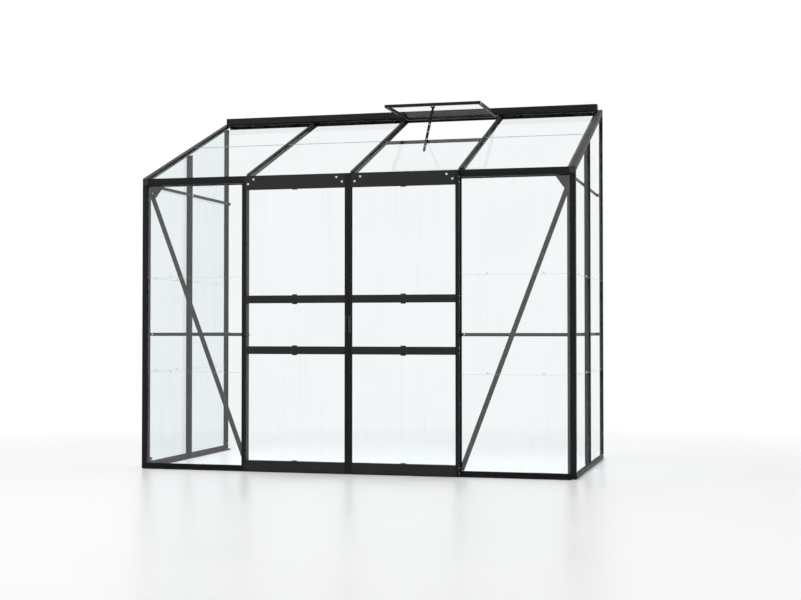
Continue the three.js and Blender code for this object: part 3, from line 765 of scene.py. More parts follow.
class RoofPlane:
    """The roof's outer plane, which gives places on it and the way up its slope."""

    def __init__(self, rafter: bpy.types.Object) -> None:
        """Finds the plane from a rafter's largest upper face.

        Args:
            rafter: The CAD object of a gable rafter.
        """
        upper = [face for face in rafter.data.polygons if face.normal.z > 0.5]
        top = max(upper, key=lambda face: face.center.dot(face.normal))
        self.outward: Vector = top.normal.copy()
        self.uphill: Vector = -X_AXIS.cross(self.outward)
        if self.uphill.z < 0:
            self.uphill = -self.uphill
        self.anchor: Vector = top.center.copy()

    def height(self, y: float) -> float:
        """The plane's height over a distance from the front."""
        return self.anchor.z + (y - self.anchor.y) * self.uphill.z / self.uphill.y

    def at(self, x: float, y: float, lift: float = 0.0) -> Vector:
        """A point over the plane.

        Args:
            x: Its place along the wall.
            y: The place towards the wall of its foot on the plane.
            lift: How far it stands out of the plane.

        Returns:
            The point.
        """
        return Vector((x, y, self.height(y))) + self.outward * lift


# ---------------------------------------------------------------- frame
@dataclass
class FrameMembers:
    """Sills, posts, bars, rails and braces: the CAD members, coated and with their edges eased."""

    nodes: dict[str, bpy.types.Object]
    edge_ease: float = 0.35 * MM
    corner_angle: float = math.radians(35)
    flat_angle: float = math.radians(0.5)
    weld_reach: float = 0.01 * MM

    def dress(self) -> None:
        """Gives every CAD node its finish, and eases the metal ones."""
        for name, node in self.nodes.items():
            finish = self.finish_of(name)
            node.data.materials.clear()
            node.data.materials.append(PAINTS.material(finish))
            if not isinstance(finish, PaneGlass):
                self.ease(node)
            log.info("%s: %s", name, finish.name)

    @staticmethod
    def finish_of(name: str) -> Finish:
        """The finish of a CAD node, from its name."""
        if "glass" in name:
            return GLASS
        if name.endswith("roller"):
            return WHEEL_NYLON
        if name.endswith("handle"):
            return HANDLE_PLASTIC
        door_rail = "_door_" in name and name.endswith("rail")
        return DOOR_COAT if door_rail else FRAME_COAT

    def ease(self, node: bpy.types.Object) -> None:
        """Rounds a member's sharp edges a little, so that they catch the light."""
        weld = node.modifiers.new("weld", "WELD")
        weld.merge_threshold = self.weld_reach
        flatten = node.modifiers.new("flatten", "DECIMATE")
        flatten.decimate_type = "DISSOLVE"
        flatten.angle_limit = self.flat_angle
        bevel = node.modifiers.new("ease", "BEVEL")
        bevel.width = self.edge_ease
        bevel.segments = 2
        bevel.limit_method = "ANGLE"
        bevel.angle_limit = self.corner_angle


@dataclass
class FrameBolts:
    """The bright bolts of the fixed frame, with their nuts inside."""

    plane: RoofPlane
    post_inset: float = 45 * MM
    plate_drop: float = 36 * MM
    brace_foot_rise: float = 20 * MM
    brace_foot_inset: float = 4 * MM
    jamb_reach: float = 20 * MM
    strip_end: float = 14 * MM
    roof_ends: tuple[float, float] = (20 * MM, 24 * MM)
    roof_bar_depth: float = 35.2 * MM

    def build(self) -> None:
        """Makes all the frame's bolts as one piece for each side, and the roof's as one more."""
        for side in Side:
            self.wall_bolts(side)
        self.roof_bolts()

    def through(self, shape: Shape, spot: Vector, outward: Vector, grip: float) -> None:
        """Adds a domed head on one face and a nut on the other, a grip apart."""
        FRAME_BOLT.dome(shape, spot, outward)
        FRAME_BOLT.hexagon(shape, spot - outward * grip, -outward)

    def wall_bolts(self, side: Side) -> None:
        """Makes the bolts of one half's posts, rails, ties and braces.

        Args:
            side: Which half.
        """
        shape = Shape(f"{side.label}_frame_bolts")
        sign = side.value
        brace, rail, jamb = side.box("brace"), side.box("front_rail"), side.box("door_jamb")
        strip = brace.size.y
        post_x = side.outer(side.box("corner_post")) - sign * self.post_inset
        brace_x = jamb.centre.x + sign * self.brace_foot_inset
        head, foot = brace.high.z - self.plate_drop, brace.low.z + self.brace_foot_rise
        for x, height in ((post_x, head), (brace_x, foot)):
            self.through(shape, Vector((x, brace.low.y, height)), -Y_AXIS, strip)
        rail_front = rail.high.y - strip
        for end_x in (post_x, jamb.centre.x + sign * self.jamb_reach):
            self.through(shape, Vector((end_x, rail_front, rail.centre.z)), -Y_AXIS, strip)
        for part in ("side_rail", "side_tie"):
            bar = side.box(part)
            for y in (bar.low.y + self.strip_end, side.box("side_bar").centre.y):
                FRAME_BOLT.hexagon(shape, Vector((side.inner(bar), y, bar.centre.z)), X_AXIS * -sign)
            SMALL_SCREW.dome(shape, Vector((bar.centre.x, bar.high.y - strip, bar.centre.z)), -Y_AXIS)
        shape.place(ZINC, Body.FRAME, Slot.FRAME)

    def roof_bolts(self) -> None:
        """Makes the bolts that hold the roof bars to the gutter and the ridge bar."""
        shape = Shape("roof_bolts")
        low_end, high_end = self.roof_ends
        for index in ROOF_BARS:
            bar = Box.of(f"roof_bar_{index}")
            for y in (bar.low.y + low_end, bar.high.y - high_end):
                spot = self.plane.at(bar.centre.x, y, -self.roof_bar_depth)
                FRAME_BOLT.hexagon(shape, spot, -self.plane.outward)
        shape.place(ZINC, Body.FRAME, Slot.FRAME)


@dataclass
class FootingsAndFixings:
    """Brackets that stand the posts and bars on the sills, and the screws into the wall."""

    plate: float = 2.6 * MM
    base: float = 2.2 * MM
    lip: float = 12 * MM
    bracket_height: float = 58 * MM
    bracket_reach: float = 20 * MM
    block_half: float = 7.5 * MM
    block_ease: float = 0.8 * MM
    wall_bracket_end: float = 24 * MM
    wall_bracket_back: float = 2.7 * MM
    wall_flange: float = 2.5 * MM
    corner_bracket: tuple[float, float] = (14 * MM, 50 * MM)
    corner_bracket_front: float = 38 * MM
    bracket_screw_height: float = 44 * MM
    bracket_bolt_inset: float = 44 * MM
    bracket_bolt_height: float = 46 * MM
    bar_block: tuple[float, float] = (34 * MM, 30 * MM)
    jamb_block_height: float = 26 * MM
    jamb_back: float = 1 * MM
    screw_inset: float = 18 * MM
    wall_screw_ends: float = 0.25
    wall_screw_count: int = 4

    def build(self) -> None:
        """Makes the brackets, their bolts and the wall screws."""
        for side in Side:
            self.brackets(side)
        self.wall_screws()

    def brackets(self, side: Side) -> None:
        """Makes the foot brackets of one half, and their bolts.

        Args:
            side: Which half.
        """
        post, jamb = side.box("corner_post"), side.box("door_jamb")
        brackets, bolts = Shape(f"{side.label}_foot_brackets"), Shape(f"{side.label}_foot_bolts")

        def inward(distance: float, y: float, height: float) -> Vector:
            """A point so far in from the gable's outer face."""
            return Vector((side.outer(post) - side.value * distance, y, height))

        back = side.box("wall_post").high.y - self.wall_bracket_back
        start, end = inward(self.lip, back, self.base), inward(self.wall_bracket_end, back, self.base)
        self.angle(brackets, start, end, -Y_AXIS)
        spot = inward(self.screw_inset, back - self.plate, self.bracket_screw_height)
        SMALL_SCREW.dome(bolts, spot, -Y_AXIS)
        front = post.low.y + self.corner_bracket_front
        start, end = (inward(distance, front, self.base) for distance in self.corner_bracket)
        self.angle(brackets, start, end, Y_AXIS)
        FRAME_BOLT.dome(bolts, inward(self.bracket_bolt_inset, front, self.bracket_bolt_height), -Y_AXIS)
        bar, (reach, height) = side.box("side_bar").centre.y, self.bar_block
        low = inward(self.lip, bar - self.block_half, self.base)
        high = inward(reach, bar + self.block_half, height)
        brackets.block(low, high, self.block_ease)
        low = Vector((jamb.centre.x - self.block_half, jamb.low.y + self.lip, self.base))
        high = Vector((jamb.centre.x + self.block_half, jamb.high.y - self.jamb_back, self.jamb_block_height))
        brackets.block(low, high, self.block_ease)
        brackets.place(FRAME_COAT, Body.FRAME, Slot.FRAME)
        bolts.place(ZINC, Body.FRAME, Slot.FRAME)

    def angle(self, shape: Shape, start: Vector, end: Vector, foot: Vector) -> None:
        """Adds an angle bracket: an upright plate with a foot.

        Args:
            shape: The mesh that it is added to.
            start: One end of its lower corner line.
            end: The other end.
            foot: The way that its foot points.
        """
        thick, high = foot * self.plate, Z_AXIS * self.bracket_height
        reach = foot * self.bracket_reach
        section = [start, start + high, start + high + thick, start + thick + Z_AXIS * self.plate,
                   start + reach + Z_AXIS * self.plate, start + reach]
        shape.prism(section, end - start)

    def wall_screws(self) -> None:
        """Makes the black screws that hold the wall posts to the wall."""
        shape = Shape("wall_screws")
        for side in Side:
            post = side.box("wall_post")
            x = side.outer(post) - side.value * self.screw_inset
            lowest, highest = self.wall_screw_ends, post.high.z - self.wall_screw_ends
            for height in spaced(lowest, highest, self.wall_screw_count):
                WALL_SCREW.dome(shape, Vector((x, post.high.y - self.wall_flange, height)), -Y_AXIS)
        shape.place(FRAME_COAT, Body.FRAME, Slot.FRAME)


# ---------------------------------------------------------------- glazing
@dataclass(frozen=True)
class SealRun:
    """One straight run of glazing seal beside a cap."""

    start: Vector
    end: Vector
    aside: Vector
    outward: Vector


@dataclass(frozen=True)
class LapLine:
    """The lower edge of a pane that lies over the one below it."""

    start: Vector
    along: Vector
    uphill: Vector
    outward: Vector


@dataclass
class Glazing:
    """Seals beside the caps, lapped gable panes and the clips that hold each pane over the next."""

    plane: RoofPlane
    cap_half: float = 9 * MM
    corner_cap: float = 31 * MM
    bead_width: float = 1.5 * MM
    bead_depth: float = 1.7 * MM
    bead_crown: tuple[float, float, float] = (0.55, 0.7, 0.9)
    glass: float = 3 * MM
    slot_depth: float = 3 * MM
    lap: float = 12 * MM
    clip_width: float = 12 * MM
    clip_gauge: float = 0.8 * MM
    clip_lip: float = 9 * MM
    clip_shares: tuple[float, float] = (0.25, 0.75)
    gutter_lap: float = 4 * MM
    face_depth: float = 0.1 * MM
    seal_sunk: float = 0.8 * MM
    seal_clearance: float = 34 * MM
    roof_seal_ends: float = 60 * MM
    edge_skin: float = 0.15 * MM
    edge_height: float = 1.1 * MM

    def build(self) -> None:
        """Makes the seals, the gable panes, all the clips and the ground edges."""
        self.seals()
        for side in Side:
            self.gable_panes(side)
        self.clips()
        self.pane_edges()

    def seal_runs(self) -> list[SealRun]:
        """Lists the seals along every cap that holds glass.

        Returns:
            The runs, each with its two ends, the side that it lies on and the way out.
        """
        walls = [run for side in Side for run in self.wall_seal_runs(side)]
        return walls + self.roof_seal_runs()

    def wall_seal_runs(self, side: Side) -> list[SealRun]:
        """Lists the seals of one half's front bay and gable."""
        sill_top, gutter = Box.of("front_sill").high.z, Box.of("eave_gutter").low.z + self.gutter_lap
        post, jamb, bar = side.box("corner_post"), side.box("door_jamb"), side.box("side_bar")
        gable, front, back = side.outer(post), post.low.y, side.box("wall_post").low.y
        inward = X_AXIS * -side.value
        post_edge = gable - side.value * self.corner_cap
        jamb_edge = jamb.centre.x + side.value * self.cap_half
        post_foot, jamb_foot = Vector((post_edge, front, sill_top)), Vector((jamb_edge, front, sill_top))
        runs = [
            SealRun(post_foot, Vector((post_edge, front, gutter)), inward, -Y_AXIS),
            SealRun(jamb_foot, Vector((jamb_edge, front, gutter)), -inward, -Y_AXIS),
            SealRun(post_foot, jamb_foot, Z_AXIS, -Y_AXIS),
        ]
        edges = ((front + self.corner_cap, Y_AXIS), (bar.centre.y - self.cap_half, -Y_AXIS),
                 (bar.centre.y + self.cap_half, Y_AXIS), (back, -Y_AXIS))
        for y, aside in edges:
            top = self.plane.height(y) - self.seal_clearance
            runs.append(SealRun(Vector((gable, y, sill_top)), Vector((gable, y, top)), aside, -inward))
        foot, end = Vector((gable, front + self.corner_cap, sill_top)), Vector((gable, back, sill_top))
        return runs + [SealRun(foot, end, Z_AXIS, -inward)]

    def roof_seal_runs(self) -> list[SealRun]:
        """Lists the seals beside the roof bars and the rafters."""
        low_y = Box.of("eave_gutter").low.y + self.roof_seal_ends
        high_y = Box.of("roof_bar_1").high.y - self.roof_seal_ends
        vent_y = Box.of("vent_sill").low.y
        edges: list[tuple[float, Vector, float]] = []
        for index in ROOF_BARS:
            middle = Box.of(f"roof_bar_{index}").centre.x
            edges.append((middle - self.cap_half, -X_AXIS, vent_y if index == VENT_BARS[1] else high_y))
            edges.append((middle + self.cap_half, X_AXIS, vent_y if index == VENT_BARS[0] else high_y))
        for side in Side:
            edge = side.outer(side.box("gable_rafter")) - side.value * self.corner_cap
            edges.append((edge, X_AXIS * -side.value, high_y))
        return [SealRun(self.plane.at(x, low_y), self.plane.at(x, end), aside, self.plane.outward)
                for x, aside, end in edges]

    def seals(self) -> None:
        """Makes the rubber beads along the caps."""
        shape = Shape("glazing_seals")
        for run in self.seal_runs():
            near, far = -run.outward * self.seal_sunk, -run.outward * (self.seal_sunk + self.bead_depth)
            out = run.aside * self.bead_width
            crown = [near + out * self.bead_crown[0], far * self.bead_crown[1] + out,
                     far + out * self.bead_crown[2]]
            section = [run.start + corner for corner in (near, *crown, far)]
            shape.prism(section, run.end - run.start)
        shape.place(SEAL_RUBBER, Body.FRAME, Slot.FRAME)

    def pane_section(self, foot: float, head: float, laps: Sequence[float]) -> list[tuple[float, float]]:
        """The edge-on outline of lapped panes, as depth behind the frame's face and height.

        Args:
            foot: Height of the lowest edge.
            head: Height of the highest edge.
            laps: Heights of the laps' middles.

        Returns:
            The outline's points, in order.
        """
        feet = [foot] + [lap - self.lap / 2 for lap in laps]
        heads = [lap + self.lap / 2 for lap in laps] + [head]
        front: list[tuple[float, float]] = []
        back: list[tuple[float, float]] = []
        for index, (low, high) in enumerate(zip(feet, heads)):
            end = feet[index + 1] if index + 1 < len(feet) else head
            start = heads[index - 1] if index else foot
            lean = self.glass / (high - low)
            front += [(self.slot_depth, low), (self.slot_depth + lean * (end - low), end)]
            back += [(self.slot_depth + self.glass + lean * (start - low), start),
                     (self.slot_depth + 2 * self.glass, high)]
        return front + back[::-1]

    def lap_heights(self) -> list[float]:
        """Heights of the laps of the front panes, read from their steps."""
        node = bpy.data.objects["left_front_glass"]
        front = Box.of("left_front_glass").low.y
        outer = [vert.co for vert in node.data.vertices if vert.co.y < front + self.face_depth]
        steps = sorted({round(corner.z, 4) for corner in outer})
        return [step + self.lap / 2 for step in steps[1:]]

    def gable_panes(self, side: Side) -> None:
        """Makes the lapped panes of one gable, cut off under the rafter.

        Args:
            side: Which gable.
        """
        gable = side.outer(side.box("corner_post"))
        for bay in GABLE_BAYS:
            node = f"{side.label}_gable_glass_{bay}"
            box = Box.of(node)
            shape = Shape(f"{side.label}_{bay}_gable_panes")
            outline = [Vector((gable - side.value * depth, box.low.y, height))
                       for depth, height in self.pane_section(box.low.z, box.high.z, self.lap_heights())]
            made = shape.prism(outline, Y_AXIS * box.size.y)
            cut = self.plane.at(0, box.high.y)
            cut.z = box.high.z
            geometry = list({edge for vert in made for edge in vert.link_edges} | set(made)
                            | {face for vert in made for face in vert.link_faces})
            bmesh.ops.bisect_plane(shape.mesh, geom=geometry, dist=1e-6, plane_co=cut,
                                   plane_no=self.plane.outward, clear_outer=True)
            open_edges = [edge for edge in shape.mesh.edges if edge.is_boundary]
            bmesh.ops.holes_fill(shape.mesh, edges=open_edges, sides=0)
            bmesh.ops.recalc_face_normals(shape.mesh, faces=shape.mesh.faces[:])
            shape.place(GLASS, Body.FRAME, Slot.GLASS, replaces=[node])

    def clip(self, shape: Shape, foot: Vector, uphill: Vector, outward: Vector, across: Vector) -> None:
        """Adds one bent clip that carries a pane's lower edge on the head of the pane below.

        Args:
            shape: The mesh that it is added to.
            foot: The outer pane's lower edge, on its outer face.
            uphill: The way up the pane.
            outward: The way out of it.
            across: The way along the lap.
        """
        gauge, grip = self.clip_gauge, uphill * (self.lap + self.clip_gauge)
        lip, behind, out = uphill * self.clip_lip, -outward * (self.glass + gauge), outward * gauge
        below = -uphill * gauge
        outer = [foot + out + lip, foot + out + below, foot + behind + below, foot + behind + grip]
        inner = [foot + lip, foot, foot + behind + out, foot + behind + out + grip]
        start = [point - across * self.clip_width / 2 for point in outer + inner[::-1]]
        shape.prism(start, across * self.clip_width)

    def lap_lines(self) -> list[LapLine]:
        """Lists the outer pane's lower edge at every lap of the front, the gables and the roof.

        Returns:
            The lines, each from one side of its pane to the other.
        """
        lines: list[LapLine] = []
        for side in Side:
            front, gable = side.box("front_glass"), side.outer(side.box("corner_post"))
            for lap in self.lap_heights():
                foot = lap - self.lap / 2
                start = Vector((front.low.x, front.low.y, foot))
                lines.append(LapLine(start, X_AXIS * front.size.x, Z_AXIS, -Y_AXIS))
                for bay in GABLE_BAYS:
                    pane = side.box(f"gable_glass_{bay}")
                    start = Vector((gable - side.value * self.slot_depth, pane.low.y, foot))
                    lines.append(LapLine(start, Y_AXIS * pane.size.y, Z_AXIS, X_AXIS * side.value))
        foot_y = Box.of("roof_glass_3").high.y - self.lap * self.plane.uphill.y
        for index in FULL_ROOF_PANES:
            pane = Box.of(f"roof_glass_{index}")
            start = self.plane.at(pane.low.x, foot_y, -self.slot_depth)
            lines.append(LapLine(start, X_AXIS * pane.size.x, self.plane.uphill, self.plane.outward))
        return lines

    def pane_edges(self) -> None:
        """Makes the ground lower edges of the panes at every lap."""
        shape = Shape("pane_edges")
        for line in self.lap_lines():
            corner = line.start + (line.outward - line.uphill) * self.edge_skin
            deep, high = -line.outward * self.glass, line.uphill * self.edge_height
            shape.prism([corner, corner + high, corner + deep + high, corner + deep], line.along)
        shape.place(GROUND_EDGE, Body.FRAME, Slot.GLASS)

    def clips(self) -> None:
        """Makes two clips on every lap."""
        shape = Shape("pane_clips")
        for line in self.lap_lines():
            for share in self.clip_shares:
                spot = line.start + line.along * share
                self.clip(shape, spot, line.uphill, line.outward, line.along.normalized())
        shape.place(STAINLESS, Body.FRAME, Slot.FRAME)


# ---------------------------------------------------------------- gutter and ridge
@dataclass
class GutterAndRidge:
    """Stop ends in the gutter, caps on the ridge bar and on the rafters' feet, and a black strip on the wall
    under the ridge bar that is partly a seal and partly painted shadow of the ridge bar on the wall.
    """

    plane: RoofPlane
    stop_inset: float = 6 * MM
    stop_gauge: float = 3 * MM
    stop_ease: float = 0.6 * MM
    channel_front: float = 25 * MM
    channel_back: float = 3 * MM
    channel_floor: float = 15.2 * MM
    channel_top: float = 6 * MM
    foot_reach: float = 31 * MM
    foot_drop: float = 1.2 * MM
    foot_gap: float = 0.3 * MM
    foot_ease: float = 0.7 * MM
    cap_setback: float = 8.9 * MM
    cap_rise: float = 1 * MM
    cap_gauge: float = 2 * MM
    cap_ease: float = 0.5 * MM
    leg_reach: float = 16 * MM
    # The strip under the ridge bar is partly a seal and partly painted shadow of the ridge bar on the wall.
    seal_height: float = 22 * MM
    seal_front: float = 2.2 * MM
    seal_back: float = 0.2 * MM
    seal_gap: float = 0.3 * MM
    seal_ease: float = 0.5 * MM

    def build(self) -> None:
        """Makes the plastic caps as one piece, and the black strip under the ridge bar, which is partly a
        seal and partly painted shadow.
        """
        shape = Shape("end_caps")
        gutter, ridge = Box.of("eave_gutter"), Box.of("ridge_bar")
        front, back = gutter.low.y + self.channel_front, gutter.high.y - self.channel_back
        floor, top = gutter.low.z + self.channel_floor, gutter.high.z - self.channel_top
        for side in Side:
            end = side.outer(gutter) - side.value * self.stop_inset
            inner = end - side.value * self.stop_gauge
            shape.block(Vector((end, front, floor)), Vector((inner, back, top)), self.stop_ease)
            self.rafter_foot(shape, side)
            self.ridge_cap(shape, ridge, side)
        shape.place(CAP_PLASTIC, Body.FRAME, Slot.FRAME)
        self.wall_seal(ridge)

    def wall_seal(self, ridge: Box) -> None:
        """Makes the black rubber strip that hangs from the ridge bar's back leg, flat against the wall. It is
        partly a seal and partly painted shadow: its depth reaches down over the band where the ridge bar's
        shadow falls on the wall.
        """
        shape = Shape("wall_seal")
        # Painted shadow: the black strip runs down the wall as far as the ridge bar's shadow reaches.
        top = self.plane.height(ridge.high.y) - self.leg_reach - self.seal_gap
        low = Vector((ridge.low.x, ridge.high.y - self.seal_front, top - self.seal_height))
        high = Vector((ridge.high.x, ridge.high.y - self.seal_back, top))
        shape.block(low, high, self.seal_ease)
        shape.place(SEAL_RUBBER, Body.FRAME, Slot.FRAME)

    def rafter_foot(self, shape: Shape, side: Side) -> None:
        """Adds the cap that closes a gable rafter's lower end, between the gutter and the gable's face.

        Args:
            shape: The mesh that it is added to.
            side: Which gable.
        """
        rafter, front = side.box("gable_rafter"), side.box("corner_post").low.y
        gable = side.outer(rafter)
        inner, top = gable - side.value * self.foot_reach, self.plane.height(front) - self.foot_drop
        high = Vector((inner, rafter.low.y - self.foot_gap, top))
        shape.block(Vector((gable, front, rafter.low.z)), high, self.foot_ease)

    def ridge_cap(self, shape: Shape, ridge: Box, side: Side) -> None:
        """Adds the cap that closes one end of the ridge bar, above the rafter.

        Args:
            shape: The mesh that it is added to.
            ridge: The ridge bar's box.
            side: Which end.
        """
        face, back, top = ridge.low.y + self.cap_setback, ridge.high.y, ridge.high.z
        feet = [self.plane.height(y) + self.cap_rise for y in (face, back)]
        corners = [(face, feet[0]), (face, top), (back, top), (back, feet[1])]
        outline = [Vector((side.outer(ridge), y, z)) for y, z in corners]
        shape.prism(outline, X_AXIS * side.value * self.cap_gauge, self.cap_ease)


# ---------------------------------------------------------------- doors
# The grip's section: the place to each side in millimetres, and the share of the grip's depth there.
GRIP_OUTLINE = ((-6.2, 0.0), (-4.6, 0.25), (-3.8, 0.6), (-4.4, 0.88), (-3.2, 1.0),
                (3.2, 1.0), (4.4, 0.88), (3.8, 0.6), (4.6, 0.25), (6.2, 0.0))
# Its levels: the height above the plate's lower end in millimetres, and the share of the depth there.
GRIP_LEVELS = ((1.5, 0.25), (5.0, 0.7), (12.0, 0.95), (22.0, 1.0), (50.0, 0.97),
               (78.0, 1.0), (88.0, 0.95), (95.0, 0.7), (98.5, 0.25))


@dataclass
class SlidingDoor:
    """One leaf's hardware: bolts, screws, glass clips, seals, brushes and its handle."""

    side: Side
    corner_bolt_inset: float = 37 * MM
    corner_bolt_drop: float = 48 * MM
    top_screws: tuple[float, float] = (13 * MM, 43 * MM)
    rail_screw_half: float = 15 * MM
    grip_screw_inset: float = 7 * MM
    clip_width: float = 30 * MM
    clip_reach: float = 6 * MM
    clip_front: float = 3.2 * MM
    clip_back: float = 0.2 * MM
    clip_ease: float = 0.9 * MM
    bead: float = 1.6 * MM
    bead_gap: float = 0.1 * MM
    bead_ease: float = 0.5 * MM
    brush_foot: float = 8 * MM
    brush_head: float = 22 * MM
    brush_half: float = 3 * MM
    brush_backing: float = 1.2 * MM
    brush_ease: float = 0.4 * MM
    tuft_count: int = 84
    tuft_ends: float = 8 * MM
    tuft_sway: float = 0.5 * MM
    tuft_turn: float = 2.4
    tuft_root_half: float = 1.6 * MM
    tuft_tip_half: float = 1 * MM
    tuft_reach: float = 8 * MM
    tuft_drop: tuple[float, float] = (8 * MM, 7.6 * MM)
    tuft_height: float = 15 * MM
    grip_plate: float = 3.2 * MM
    grip_plate_ease: float = 1.2 * MM
    box: dict[str, Box] = field(default_factory=dict)

    def __post_init__(self) -> None:
        """Reads the boxes of the leaf's members."""
        for part in ("outer_stile", "meeting_stile", "top_rail", "upper_rail", "lower_rail", "bottom_rail",
                     "glass", "handle", "outer_roller", "meeting_roller"):
            self.box[part] = self.side.box(f"door_{part}")

    @property
    def body(self) -> Body:
        """The leaf's CAD body."""
        return Body.LEFT_DOOR if self.side is Side.LEFT else Body.RIGHT_DOOR

    def name(self, piece: str) -> str:
        """A piece's name, with the leaf's side in front."""
        return f"{self.side.label}_door_{piece}"

    def build(self) -> None:
        """Makes all of the leaf's hardware."""
        self.bolts()
        self.screws()
        self.glass_clips()
        self.glass_seals()
        self.brushes()
        self.handle()

    def bolts(self) -> None:
        """Makes the two bolts at each end of the top rail: the roller's axle and the corner bolt."""
        shape = Shape(self.name("bolts"))
        rail = self.box["top_rail"]
        front = rail.low.y
        for part, roller in (("outer_stile", "outer_roller"), ("meeting_stile", "meeting_roller")):
            stile, wheel = self.box[part], self.box[roller]
            way = 1 if rail.centre.x > stile.centre.x else -1
            edge = stile.low.x if way > 0 else stile.high.x
            FRAME_BOLT.dome(shape, Vector((wheel.centre.x, front, wheel.centre.z)), -Y_AXIS)
            spot = Vector((edge + way * self.corner_bolt_inset, front, rail.high.z - self.corner_bolt_drop))
            FRAME_BOLT.dome(shape, spot, -Y_AXIS)
            FRAME_BOLT.hexagon(shape, Vector((wheel.centre.x, rail.high.y, wheel.centre.z)), Y_AXIS)
        shape.place(ZINC, self.body, Slot.DOOR)

    def screws(self) -> None:
        """Makes the screws that run through each stile into the rails' ends."""
        shape = Shape(self.name("screws"))
        stile, handle = self.box["outer_stile"], self.box["handle"]
        face = self.side.outer(stile)
        heights = [self.box["top_rail"].low.z + rise for rise in self.top_screws]
        for part in ("upper_rail", "lower_rail", "bottom_rail"):
            middle = self.box[part].centre.z
            heights += [middle - self.rail_screw_half, middle + self.rail_screw_half]
        for height in heights:
            SMALL_SCREW.dome(shape, Vector((face, stile.centre.y, height)), X_AXIS * self.side.value)
        for height in (handle.low.z + self.grip_screw_inset, handle.high.z - self.grip_screw_inset):
            spot = Vector((handle.centre.x, self.box["meeting_stile"].high.y, height))
            SMALL_SCREW.dome(shape, spot, Y_AXIS)
        shape.place(ZINC, self.body, Slot.DOOR)

    def glass_clips(self) -> None:
        """Makes the small black clips that hold the glass at the middle of each rail's edge."""
        shape = Shape(self.name("glass_clips"))
        face = self.box["glass"].low.y
        middle = self.box["top_rail"].centre.x
        edges = [(self.box["top_rail"].low.z, -1), (self.box["bottom_rail"].high.z, 1)]
        for part in ("upper_rail", "lower_rail"):
            edges += [(self.box[part].high.z, 1), (self.box[part].low.z, -1)]
        for height, way in edges:
            end = height + way * self.clip_reach
            low = Vector((middle - self.clip_width / 2, face - self.clip_front, height))
            high = Vector((middle + self.clip_width / 2, face - self.clip_back, end))
            shape.block(low, high, self.clip_ease)
        shape.place(CAP_PLASTIC, self.body, Slot.DOOR)

    def glass_seals(self) -> None:
        """Makes the rubber beads round the pane, inside the stiles and rails."""
        shape = Shape(self.name("glass_seals"))
        pane, top, foot = self.box["glass"], self.box["top_rail"], self.box["bottom_rail"]
        left = min(self.box["outer_stile"].high.x, self.box["meeting_stile"].high.x)
        right = max(self.box["outer_stile"].low.x, self.box["meeting_stile"].low.x)
        for y, way in ((pane.low.y, -1), (pane.high.y, 1)):
            near, far = y + way * self.bead_gap, y + way * self.bead
            for x, turn in ((left, 1), (right, -1)):
                high = Vector((x + turn * self.bead, far, top.low.z))
                shape.block(Vector((x, near, foot.high.z)), high, self.bead_ease)
            for z, turn in ((foot.high.z, 1), (top.low.z, -1)):
                high = Vector((right - self.bead, far, z + turn * self.bead))
                shape.block(Vector((left + self.bead, near, z)), high, self.bead_ease)
        shape.place(SEAL_RUBBER, self.body, Slot.DOOR)

    def brushes(self) -> None:
        """Makes the brush strips down the backs of both stiles, in tufts."""
        shape = Shape(self.name("brushes"))
        for part in ("outer_stile", "meeting_stile"):
            stile = self.box[part]
            low, high = stile.low.z + self.brush_foot, self.box["glass"].high.z + self.brush_head
            middle, back, root = stile.centre.x, stile.high.y, stile.high.y + self.brush_backing
            shape.block(Vector((middle - self.brush_half, back, low)),
                        Vector((middle + self.brush_half, root, high)), self.brush_ease)
            places = spaced(low + self.tuft_ends, high - self.tuft_ends, self.tuft_count)
            for index, height in enumerate(places):
                sway = self.tuft_sway * math.sin(index * self.tuft_turn)
                foot = self.tuft(middle, root, back + self.tuft_reach, height, sway)
                shape.prism(foot, Z_AXIS * self.tuft_height)
        shape.place(BRUSH_PILE, self.body, Slot.DOOR)

    def tuft(self, middle: float, root: float, tip: float, height: float, sway: float) -> list[Vector]:
        """The lower face of one tuft of a brush strip.

        Args:
            middle: The strip's middle line.
            root: How far back the tuft starts.
            tip: How far back it ends.
            height: The place that the tuft belongs to.
            sway: How far its tip leans to one side.

        Returns:
            The face's four corners.
        """
        root_height, tip_height = (height - drop for drop in self.tuft_drop)
        return [Vector((middle - self.tuft_root_half, root, root_height)),
                Vector((middle - self.tuft_tip_half + sway, tip, tip_height)),
                Vector((middle + self.tuft_tip_half + sway, tip, tip_height)),
                Vector((middle + self.tuft_root_half, root, root_height))]

    def handle(self) -> None:
        """Makes the grip: a plate with a waisted bar on it that thins towards both ends."""
        shape = Shape(self.name("grip"))
        box = self.box["handle"]
        plate_front = box.high.y - self.grip_plate
        low, high = Vector((box.low.x, box.high.y, box.low.z)), Vector((box.high.x, plate_front, box.high.z))
        shape.block(low, high, self.grip_plate_ease)
        middle, reach = box.centre.x, plate_front - box.low.y
        first, share = GRIP_LEVELS[0]
        start = [Vector((middle + x * MM, plate_front - reach * depth * share, box.low.z + first * MM))
                 for x, depth in GRIP_OUTLINE]
        verts = [shape.mesh.verts.new(corner) for corner in start]
        face = shape.mesh.faces.new(verts)
        for height, share in GRIP_LEVELS[1:]:
            pushed = bmesh.ops.extrude_face_region(shape.mesh, geom=[face])["geom"]
            ring = [item for item in pushed if isinstance(item, bmesh.types.BMVert)]
            face = next(item for item in pushed if isinstance(item, bmesh.types.BMFace))
            old = max(plate_front - vert.co.y for vert in ring)
            for vert in ring:
                vert.co.y = plate_front - (plate_front - vert.co.y) / old * reach * share
                vert.co.z = box.low.z + height * MM
        bmesh.ops.recalc_face_normals(shape.mesh, faces=shape.mesh.faces[:])
        shape.place(HANDLE_PLASTIC, self.body, Slot.HANDLE, replaces=[self.name("handle")])


